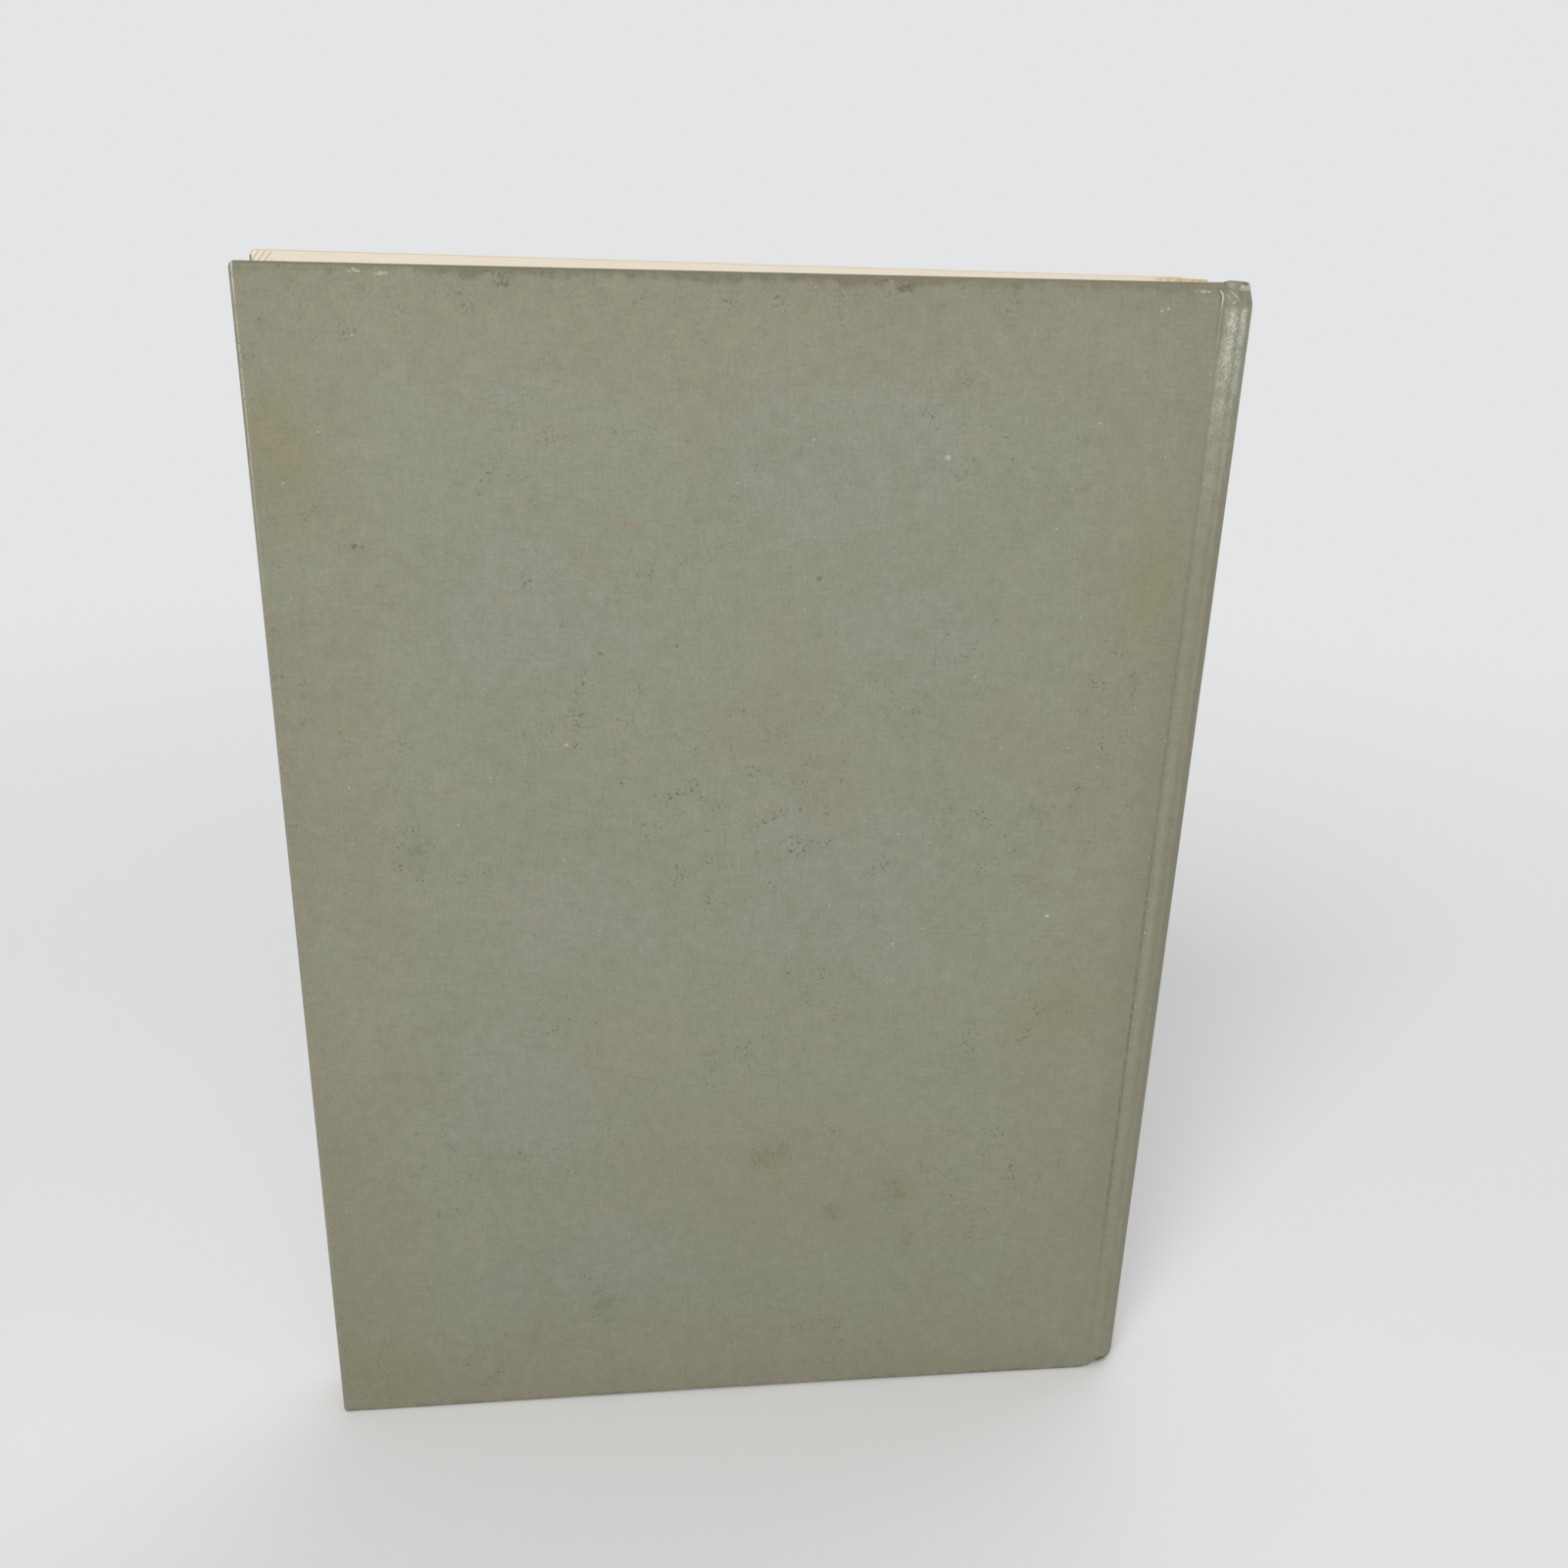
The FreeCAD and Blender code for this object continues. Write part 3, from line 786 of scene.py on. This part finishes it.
def stuff_shade(start, base, dark, fibre, thread=0.0, rough=0.85):
    """Pulp or woven stuff: fibres of a size, and threads of a pitch where it is woven, both in metres."""
    where = start.node("ShaderNodeTexCoord", out="Object")
    flecks = cloudy(where, fibre, 4, 0.65)
    height = flecks
    if thread:
        turn = 2 * math.pi / thread
        weft = (where.axis(2) * turn).sine()
        warp = ((where.axis(0) + where.axis(1)) * turn).sine()
        height = 0.5 + 0.25 * warp + 0.25 * weft + 0.3 * (flecks - 0.5)
    paint = height.rise(0.25, 0.7).tint(dark, base)
    return matt(paint, rough + 0.1 * (flecks - 0.5), height, FIBRE_RELIEF)


STUFFS = {
    "grey_board": (colour(176, 163, 142), colour(140, 126, 106), 1.5 * MM),
    "infill_card": (colour(188, 160, 122), colour(160, 132, 96), 1.2 * MM),
    "lining_paper": (colour(180, 148, 110), colour(148, 116, 80), 2.0 * MM),
    "gauze": (colour(224, 217, 200), colour(150, 140, 120), 0.8 * MM, 1.1 * MM),
    "linen_tape": (colour(222, 214, 198), colour(186, 176, 156), 0.5 * MM, 0.5 * MM),
    "linen_thread": (colour(226, 219, 204), colour(188, 178, 158), 0.3 * MM, 0.35 * MM, 0.55),
}
finishes = {slot: material(f"{slot}_finish", stuff_shade, *stuff) for slot, stuff in STUFFS.items()}
print("hidden finishes:", ", ".join(finishes))

# %% [markdown]
# A board is a flat slab, but the heads of the covers slope a little and their tails bow, so each board is
# made again between the case's own lines. A strip of card stiffens the spine between the cloth's turned-in
# ends: an arc with an outer and an inner radius, about the spine's own centre.

# %% The boards and the card in the spine
SLAB_STEPS = 30
CARD = 0.6 * MM
CARD_TAIL = 0.8 * MM
CARD_HEAD = 0.2 * MM
CARD_STEPS = 16


def cover_slab(name, side, node, tail_gap, head_gap):
    """A flat slab in a node's place whose ends keep their gaps to the case's tail and head."""
    low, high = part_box(node)
    across = np.linspace(low.x, high.x, SLAB_STEPS)
    tails, heads = case_ends(side, case_sizes(side), across)
    made = ring_mesh(name, [upright((x, low.y), (x, high.y), tail + tail_gap, head - head_gap)
                            for x, tail, head in zip(across, tails, heads)])
    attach(made, f"{side}_cover")
    return made


def spine_card():
    """A curved strip of card just inside the spine's cloth."""
    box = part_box("spine_inlay")
    outside = box[1].x - SPINE_CENTRE
    half = math.asin(box[1].y / outside)
    low, high = TURN_IN + CARD_TAIL, CAP_TOP - TURN_IN - CARD_HEAD
    rings = []
    for angle in np.linspace(-half, half, CARD_STEPS):
        outer, inner = ((SPINE_CENTRE + radius * math.cos(angle), radius * math.sin(angle))
                        for radius in (outside, outside - CARD))
        rings.append(upright(outer, inner, low, high))
    return ring_mesh("spine_card", rings)


for side in SIDES:
    board = cover_slab(f"{side}_pulp_board", side, f"{side}_board", BOARD_INSET, BOARD_INSET)
    dressed(board, finishes["grey_board"], "grey_board", f"{side}_board")
card = dressed(spine_card(), finishes["infill_card"], "infill_card", "spine_inlay")
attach(card, "text_block")
print("boards and", card.name, "with", len(card.data.polygons), "faces")

# %% [markdown]
# ## Paper
#
# The end papers are a heavy cream sheet; the leaves are thinner and slightly yellower. Old paper is browner
# where air reaches it, at its edges and in the gutter, and it has faint fibres and a few rusty freckles.
# One shade function makes both papers from a colour, the sheet's edges and a freckle share. Sheets that
# bend carry their own flat places as an attribute, so the tones stay put when a leaf turns; the pastedowns
# stay flat and read Object coordinates.

# %% The papers
# The toned colour also paints the shade of the creases at the head corner.
PAPER_TONE_AND_SHADE = colour(196, 176, 138)
PAPER_TAN = colour(226, 198, 148)
PAPER_RUST = colour(160, 120, 78)
PAPER_RELIEF = 0.03 * MM
CORNER_STROKES = 1.15 * MM
CORNER_SLOPE = 0.8
CORNER_WIDE = (3.9 * MM, 3.2 * MM)
CORNER_HIGH = (7 * MM, 4 * MM)
page_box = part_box("back_flyleaf")
fore_edge, page_low, page_high = page_box[0].x, page_box[0].z, page_box[1].z


def paper_shade(start, base, edges, freckles, tan, bends=True):
    """Paper with toned edges, given as fore-edge, gutter, tail and head; tan is how brown its gutter is."""
    if bends:
        where = start.node("ShaderNodeAttribute", out="Vector", attribute_name="place")
    else:
        where = start.node("ShaderNodeTexCoord", out="Object")
    x, z = where.axis(0), where.axis(2)
    fore, gutter, tail, head = edges
    cloud = cloudy(where, 24 * MM, 3)
    fibre = cloudy(stretched(where, (1, 1, 0.3)), 1.6 * MM, 3, 0.6)
    streak = cloudy(stretched(where, (0.12, 1, 1)), 2.2 * MM, 2)
    inwards = (x - fore).least(z - tail).least(head - z)
    toned = (inwards + 5 * MM * (cloud - 0.5)).rise(7 * MM, -1 * MM)
    in_gutter = (x + 8 * MM * (cloud - 0.5)).rise(gutter - 13 * MM, gutter - 4 * MM)
    ticks = cloudy(stretched(where, (1, 1, 0.15)), 0.7 * MM, 3, 0.6).rise(0.48, 0.62)
    spots = cloudy(where, 1.4 * MM, 1).rise(0.80 - freckles, 0.86 - freckles)
    paint = layered(base, (0.12, toned, PAPER_TONE_AND_SHADE), (tan, in_gutter, PAPER_TAN),
                    (0.6 * tan, in_gutter * ticks, PAPER_RUST), (0.5, spots, PAPER_RUST))
    if not bends:
        # Painted shade of dog-ear creases at the head corner: slanting tan strokes on the flat sheet.
        corner = (x - fore).rise(*CORNER_WIDE) * (head - z).rise(*CORNER_HIGH)
        turn = ((x - fore) - CORNER_SLOPE * (z - head)) * (2 * math.pi / CORNER_STROKES)
        paint = layered(paint, (0.6, corner * turn.sine().rise(-0.2, 0.9), PAPER_TONE_AND_SHADE))
    paint = scaled(paint, 0.965 + 0.04 * fibre + 0.03 * streak)
    return matt(paint, 0.80 + 0.12 * (fibre - 0.5), fibre, PAPER_RELIEF, strength=0.25, shine=0.3)


END_CREAM = colour(240, 233, 221)
PAGE_CREAM = colour(226, 215, 190)
GUTTER_TAN = 0.7
LEAF_TAN = 0.3
FRECKLES = 0.03
PASTE_FRECKLES = 0.02
JOINT_GUTTER = 86 * MM
JOINT_HEAD = 262 * MM
end_paper = {}
for side in SIDES:
    low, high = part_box(f"{side}_pastedown")
    toning = ((low.x, high.x, low.z, high.z), PASTE_FRECKLES, GUTTER_TAN)
    end_paper[side] = material(f"end_paper_{side}", paper_shade, END_CREAM, *toning, bends=False)
page_edges = (fore_edge, hinge_place["back_cover_hinge"].x, page_low, page_high)
fly_paper = material("fly_paper", paper_shade, END_CREAM, page_edges, FRECKLES, LEAF_TAN)
joint_edges = (fore_edge, JOINT_GUTTER, page_low, JOINT_HEAD)
joint_paper = material("joint_paper", paper_shade, END_CREAM, joint_edges, FRECKLES, GUTTER_TAN)
page_paper = material("leaf_paper", paper_shade, PAGE_CREAM, page_edges, FRECKLES, LEAF_TAN)
print("papers:", end_paper["back"].name, end_paper["front"].name, fly_paper.name, page_paper.name)

# %% [markdown]
# ## End papers and turning leaves
#
# The pastedown is glued flat over the inside of the cover, so it is one more slab between the case's lines.
# A flyleaf is pasted along a narrow strip and free beyond it. Its sheet is one mesh from the strip to the
# fore-edge, with extra points where it would bend. The three outer leaves on each side are made the same
# way. A last strip of paper lines the inside of each joint, from the board to the shoulder of the leaves.

# %% Pastedowns, flyleaves and outer leaves
PASTE_TAIL = 0.4 * MM
PASTE_HEAD = 0.1 * MM
BEND_RUN = Vector((8 * MM, 0, 0))
BEND_STEPS = 12
FLAT_STEPS = 7
OUTER_LEAVES = 3


def bend_at_gutter(made):
    """Bake a piece's transform into its mesh."""
    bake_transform(made)


def paper_sheet(name, body, spine_end):
    """A thin sheet from the spine to the fore-edge of its body, with extra points past its pivot."""
    low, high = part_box(body)
    pivot = hinge_place[f"{body}_bend"].x
    bent = pivot - BEND_RUN.x
    stations = (spine_end, *np.linspace(pivot, bent, BEND_STEPS), *np.linspace(bent, low.x, FLAT_STEPS)[1:])
    made = ring_mesh(name, [upright((x, low.y), (x, high.y), page_low, page_high) for x in stations])
    bend_at_gutter(made)
    return made


for side in SIDES:
    paste = cover_slab(f"{side}_paste_sheet", side, f"{side}_pastedown", PASTE_TAIL, PASTE_HEAD)
    dressed(paste, end_paper[side], "endpaper", f"{side}_pastedown")
    stub_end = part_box(f"{side}_flyleaf_stub")[1].x
    leaf = paper_sheet(f"{side}_fly_sheet", f"{side}_flyleaf", stub_end)
    dressed(leaf, fly_paper, "endpaper", f"{side}_flyleaf", f"{side}_flyleaf_stub")
    for k in range(1, OUTER_LEAVES + 1):
        body = f"{side}_leaf_{k}"
        dressed(paper_sheet(f"{body}_sheet", body, stub_end), page_paper, "page_paper", body)
    print(side, "pastedown, flyleaf and", OUTER_LEAVES, "leaves")

# %% The paper in the joints
LINING = 0.15 * MM
LINING_LAPS = (0.2 * MM, 2 * MM)
FALL_FROM = 1.4 * MM
FALL_RUN = 0.3 * MM
LINING_STEPS = 5
HOLLOW_POINTS = ((0.05, 0.0), (1.3, 0.25), (2.3, 1.3), (3.1, 2.0), (3.9, 1.6), (4.1, 0.6))


def curve_through(points, steps):
    """A smooth curve that passes through each point."""
    padded = np.array([points[0], *points, points[-1]])
    found = []
    for p0, p1, p2, p3 in zip(padded, padded[1:], padded[2:], padded[3:]):
        for t in np.linspace(0, 1, steps, endpoint=False):
            bow = 2 * p1 + (p2 - p0) * t + (2 * p0 - 5 * p1 + 4 * p2 - p3) * t ** 2
            found.append((bow + (3 * p1 - p0 - 3 * p2 + p3) * t ** 3) / 2)
    return [*found, padded[-1]]


def joint_lining(side):
    """A strip of end paper that hangs into the joint from the pastedown to the shoulder of the leaves."""
    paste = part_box(f"{side}_pastedown")
    start_x, start_d = paste[1].x, abs(paste[0].y + paste[1].y) / 2
    tail, head = (float(end) for end in case_ends(side, case_sizes(side), start_x))
    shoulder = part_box(f"{side}_flyleaf_stub")[1].x
    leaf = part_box(f"{side}_flyleaf")
    leaf_face = abs(leaf[0].y + leaf[1].y) / 2 + LINING
    bends = [(start_x + dx * MM, start_d + dd * MM) for dx, dd in HOLLOW_POINTS]
    bends += [(shoulder - lap, leaf_face) for lap in LINING_LAPS]
    flat = np.array(curve_through(bends, LINING_STEPS))
    along = np.gradient(flat, axis=0)
    across = np.stack([-along[:, 1], along[:, 0]], 1)
    across /= np.linalg.norm(across, axis=1)[:, None]
    fall = smooth((flat[:, 0] - start_x - FALL_FROM) / FALL_RUN)
    tops = head - PASTE_HEAD + (page_high - head + PASTE_HEAD) * fall
    bottoms = tail + PASTE_TAIL + (page_low - tail - PASTE_TAIL) * fall
    rings = []
    for place, way, bottom, top in zip(flat, across, bottoms, tops):
        (x0, d0), (x1, d1) = (place + way * offset for offset in (-LINING / 2, LINING / 2))
        rings.append(upright((x0, SIDES[side] * d0), (x1, SIDES[side] * d1), bottom, top))
    return ring_mesh(f"{side}_joint_paper", rings)


for side in SIDES:
    lining = dressed(joint_lining(side), joint_paper, "endpaper")
    bend_at_joint(lining)
    print(lining.name, len(lining.data.polygons), "faces")

# %% [markdown]
# ## Sewn sections
#
# A section is a few sheets folded once and nested, so eight leaves come from four sheets. Every sheet
# follows one rule: straight from the fore-edge, half round the fold and straight back, with a smaller
# round for each sheet further in. A shape made by a rule and repeated suits Geometry Nodes: a line of
# points per sheet is bent by arithmetic on its distance from the fold, and a thin upright rectangle is
# swept along it. The points crowd near the fold, where the sheet turns and bends.

# %% The folded section as a node tree
SHEETS = 4
STATIONS = 141
LEAF = 0.085 * MM
LEAF_PITCH = 0.107 * MM
TRIM_WAVER = 0.06 * MM
SECTION_INPUTS = {"Float": ("Leaf pitch", "Leaf", "Fold x", "Fore-edge x", "Middle y", "Tail z", "Head z",
                            "Trim waver"),
                  "Int": ("Sheets", "Seed")}


def section_tree(paper):
    """A Geometry Nodes tree that folds and nests the sheets of one section."""
    tree = bpy.data.node_groups.new("folded_section", "GeometryNodeTree")
    tree.interface.new_socket("Geometry", in_out="OUTPUT", socket_type="NodeSocketGeometry")
    for kind, names in SECTION_INPUTS.items():
        for name in names:
            tree.interface.new_socket(name, in_out="INPUT", socket_type=f"NodeSocket{kind}")
    start = Wire(tree)
    given = tree.nodes.new("NodeGroupInput")
    sizes = {socket.name: Wire(tree, socket) for socket in given.outputs if socket.name}

    def step(kind, sockets=None, **settings):
        return start.node(f"GeometryNode{kind}", sockets, **settings)

    ends = {"Count": STATIONS, "Start Location": (-1, 0, 0), "Offset": (1, 0, 0)}
    strand = step("MeshLine", ends, mode="END_POINTS")
    seats = step("MeshLine", {"Count": sizes["Sheets"], "Offset": (0, 0, 0)}, mode="OFFSET")
    laid = step("InstanceOnPoints", {"Points": seats, "Instance": strand})
    laid = step("StoreNamedAttribute", {"Geometry": laid, "Name": "sheet", "Value": step("InputIndex")},
                data_type="FLOAT", domain="INSTANCE")
    laid = step("RealizeInstances", {"Geometry": laid})

    sheet = step("InputNamedAttribute", {"Name": "sheet"}, data_type="FLOAT")
    share = step("InputPosition").axis(0)
    bend = (sizes["Sheets"] - 0.5 - sheet) * sizes["Leaf pitch"]
    half_turn = bend * (math.pi / 2)
    length = sizes["Fold x"] - sizes["Fore-edge x"] + half_turn
    run = share * abs(share) * abs(share) * length
    angle = (run / bend).most(-math.pi / 2).least(math.pi / 2)
    straight = (abs(run) - half_turn).most(0)
    leaf_id = sheet * 2 + share.math("GREATER_THAN", share, 0)
    cut = start.node("FunctionNodeRandomValue", {2: -1.0, 3: 1.0, "ID": leaf_id, "Seed": sizes["Seed"]},
                     out=1, data_type="FLOAT")
    trim = cut * sizes["Trim waver"] * abs(share).math("POWER", abs(share), 12)
    x = sizes["Fold x"] + bend * angle.math("COSINE", angle) - straight + trim
    y = sizes["Middle y"] + bend * angle.sine()
    middle = (sizes["Tail z"] + sizes["Head z"]) * 0.5
    bent = start.node("ShaderNodeCombineXYZ", {"X": x, "Y": y, "Z": middle})
    laid = step("SetPosition", {"Geometry": laid, "Position": bent})

    line = step("SetCurveNormal", {"Curve": step("MeshToCurve", {"Mesh": laid})}, mode="Z_UP")
    leaf = {"Width": sizes["Leaf"], "Height": sizes["Head z"] - sizes["Tail z"]}
    leaf = step("CurvePrimitiveQuadrilateral", leaf, mode="RECTANGLE")
    pages = step("CurveToMesh", {"Curve": line, "Profile Curve": leaf, "Fill Caps": True})
    place = step("InputPosition")
    pages = step("StoreNamedAttribute", {"Geometry": pages, "Name": "place", "Value": place},
                 data_type="FLOAT_VECTOR", domain="POINT")
    pages = step("RealizeInstances", {"Geometry": pages})
    pages = step("SetMaterial", {"Geometry": pages, "Material": paper})
    start.node("NodeGroupOutput", {"Geometry": pages})
    return tree


folded_section = section_tree(page_paper)
print(folded_section.name, len(folded_section.nodes), "nodes")

# %% The sections
SECTIONS = 8
SHARP_LEAF = 40


def section_pages(n):
    """Run the tree for one section and keep the result as a plain mesh."""
    low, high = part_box(f"section_{n}_leaves")
    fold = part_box(f"section_{n}_fold")[1].x - (high.y - low.y) / 2
    given = {"Leaf pitch": LEAF_PITCH, "Leaf": LEAF, "Fold x": fold, "Fore-edge x": low.x,
             "Middle y": (low.y + high.y) / 2, "Tail z": low.z, "Head z": high.z,
             "Trim waver": TRIM_WAVER, "Sheets": SHEETS, "Seed": n}
    carrier = linked(f"section_{n}_carrier", bpy.data.meshes.new(f"section_{n}_carrier"))
    modifier = carrier.modifiers.new("fold", "NODES")
    modifier.node_group = folded_section
    for item in folded_section.interface.items_tree:
        if item.in_out == "INPUT":
            modifier[item.identifier] = given[item.name]
    graph = bpy.context.evaluated_depsgraph_get()
    mesh = bpy.data.meshes.new_from_object(carrier.evaluated_get(graph), depsgraph=graph)
    bpy.data.objects.remove(carrier)
    mesh.name = f"section_{n}_pages"
    softened(mesh, SHARP_LEAF)
    return linked(mesh.name, mesh)


for n in range(1, SECTIONS + 1):
    pages = section_pages(n)
    bend_at_gutter(pages)
    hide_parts(f"section_{n}_fold", f"section_{n}_leaves")
    print(pages.name, len(pages.data.polygons), "faces")

# %% [markdown]
# ## The carried solids
#
# The gauze, the tapes, the thread, the lining behind the folds and the cards inside the boards are already
# right as solids, so they only take their finish, each by the name of its own stuff.

# %% Finishes on the carried solids
carried = 0
for part in frame["record"]["subparts"]:
    node = frame["nodes"][part["node"]]
    if part["material_slot"] in finishes and not node.hide_render:
        node.data.materials.clear()
        node.data.materials.append(finishes[part["material_slot"]])
        carried += 1
print("carried solids with a finish:", carried)

# %% [markdown]
# ## Floor and light
#
# Colours are judged best under plain light: an even pale sky, one broad sun from the upper left, a weaker
# and wider one from behind, and a small lamp near the head. Together they give the cover about as much
# light as a white sheet needs to look white, so a colour renders as it is written. The floor is one large
# pale plane that keeps the book's soft shadow; far from the book it melts into the sky, for the camera
# only, so that no horizon cuts across the view.

# %% Floor, sky and lamps
FLOOR_PALE = 0.86
FLOOR_DIM = 0.99
FLOOR_MOTTLE = 0.4
FLOOR_REACH = 6.0
SKY_TINT = (0.985, 0.99, 1.0, 1)
SKY_SEEN = 0.79
SKY_LIGHT = 0.52
# Each sun has a strength, a direction that it shines from and a width in degrees.
SUNS = {"sun": (0.85, Vector((-0.55, -0.80, 0.75)), 22), "fill": (0.55, Vector((0.6, 0.8, 0.7)), 60)}
LAMP_POWER = 0.65
LAMP_SIZE = 0.35
LAMP_AT = Vector((-0.08, -0.38, 0.46))
LAMP_TO = Vector((0, 0, 0.2))
MELT_FROM = 0.2
MELT_TO = 0.9


def floor_shade(start):
    """Pale matt floor that melts into the sky with distance where the camera sees it."""
    where = start.node("ShaderNodeTexCoord", out="Object")
    dim, pale = ((tone, tone, tone, 1) for tone in (FLOOR_PALE * FLOOR_DIM, FLOOR_PALE))
    paint = cloudy(where, FLOOR_MOTTLE, 2).tint(dim, pale)
    plain = {"Base Color": paint, "Roughness": 0.7, "Specular IOR Level": 0.2}
    plain = start.node("ShaderNodeBsdfPrincipled", plain)
    away = start.node("ShaderNodeVectorMath", {0: where}, out=1, operation="LENGTH")
    seen = start.node("ShaderNodeLightPath", out="Is Camera Ray")
    sky = start.node("ShaderNodeEmission", {"Color": SKY_TINT, "Strength": SKY_SEEN})
    return start.node("ShaderNodeMixShader", {0: seen * away.rise(MELT_FROM, MELT_TO), 1: plain, 2: sky})


def lamp(name, kind, energy, source):
    """The holder of a new lamp that shines from a direction."""
    light = bpy.data.lights.new(name, kind)
    light.energy = energy
    holder = linked(name, light)
    holder.rotation_mode = "QUATERNION"
    holder.rotation_quaternion = source.to_track_quat("Z", "Y")
    return holder


floor_mesh = bpy.data.meshes.new("floor")
corners = ((-1, -1), (1, -1), (1, 1), (-1, 1))
floor_mesh.from_pydata([(x * FLOOR_REACH, y * FLOOR_REACH, 0) for x, y in corners], [], [(0, 1, 2, 3)])
floor_mesh.materials.append(material("pale_floor", floor_shade))
floor = linked("floor", floor_mesh)

world = bpy.data.worlds.new("pale_sky")
bpy.context.scene.world = world
sky = emptied(world)
seen, glossy, clear = (sky.node("ShaderNodeLightPath", out=f"Is {ray} Ray")
                       for ray in ("Camera", "Glossy", "Transmission"))
strength = SKY_LIGHT + (SKY_SEEN - SKY_LIGHT) * seen.most(glossy).most(clear)
backing = sky.node("ShaderNodeBackground", {"Color": SKY_TINT, "Strength": strength})
sky.node("ShaderNodeOutputWorld", {"Surface": backing})

for name, (energy, source, width) in SUNS.items():
    lamp(name, "SUN", energy, source).data.angle = math.radians(width)
head_lamp = lamp("head_lamp", "AREA", LAMP_POWER, LAMP_AT - LAMP_TO)
head_lamp.data.size = LAMP_SIZE
head_lamp.location = LAMP_AT
bpy.context.scene.view_settings.view_transform = "Standard"
print("floor, sky,", len(SUNS), "suns and a lamp in place")

# %% [markdown]
# ## Camera
#
# The viewing angle was found from the book's own edges: four corners of a cover of known shape fix where a
# camera stands and how long its lens is. It looks down a little and is turned slightly to the right.

# %% Camera
CAMERA_AT = Vector((-28.86, -290.83, 269.70)) * MM
CAMERA_TURN = math.radians(6.970)
CAMERA_DOWN = math.radians(21.232)
CAMERA_ROLL = math.radians(1.725)
CAMERA_LENS = 34.02
CAMERA_SENSOR = 36.0
CAMERA_NEAR = 10 * MM
camera = bpy.data.cameras.new("camera")
camera.lens = CAMERA_LENS
camera.sensor_width = CAMERA_SENSOR
camera.clip_start = CAMERA_NEAR
camera_holder = linked("camera", camera)
turn = Matrix.Rotation(-CAMERA_TURN, 4, "Z") @ Matrix.Rotation(math.pi / 2 - CAMERA_DOWN, 4, "X")
camera_holder.matrix_world = Matrix.Translation(CAMERA_AT) @ turn @ Matrix.Rotation(CAMERA_ROLL, 4, "Z")
bpy.context.scene.camera = camera_holder
print("camera lens", CAMERA_LENS, "mm")
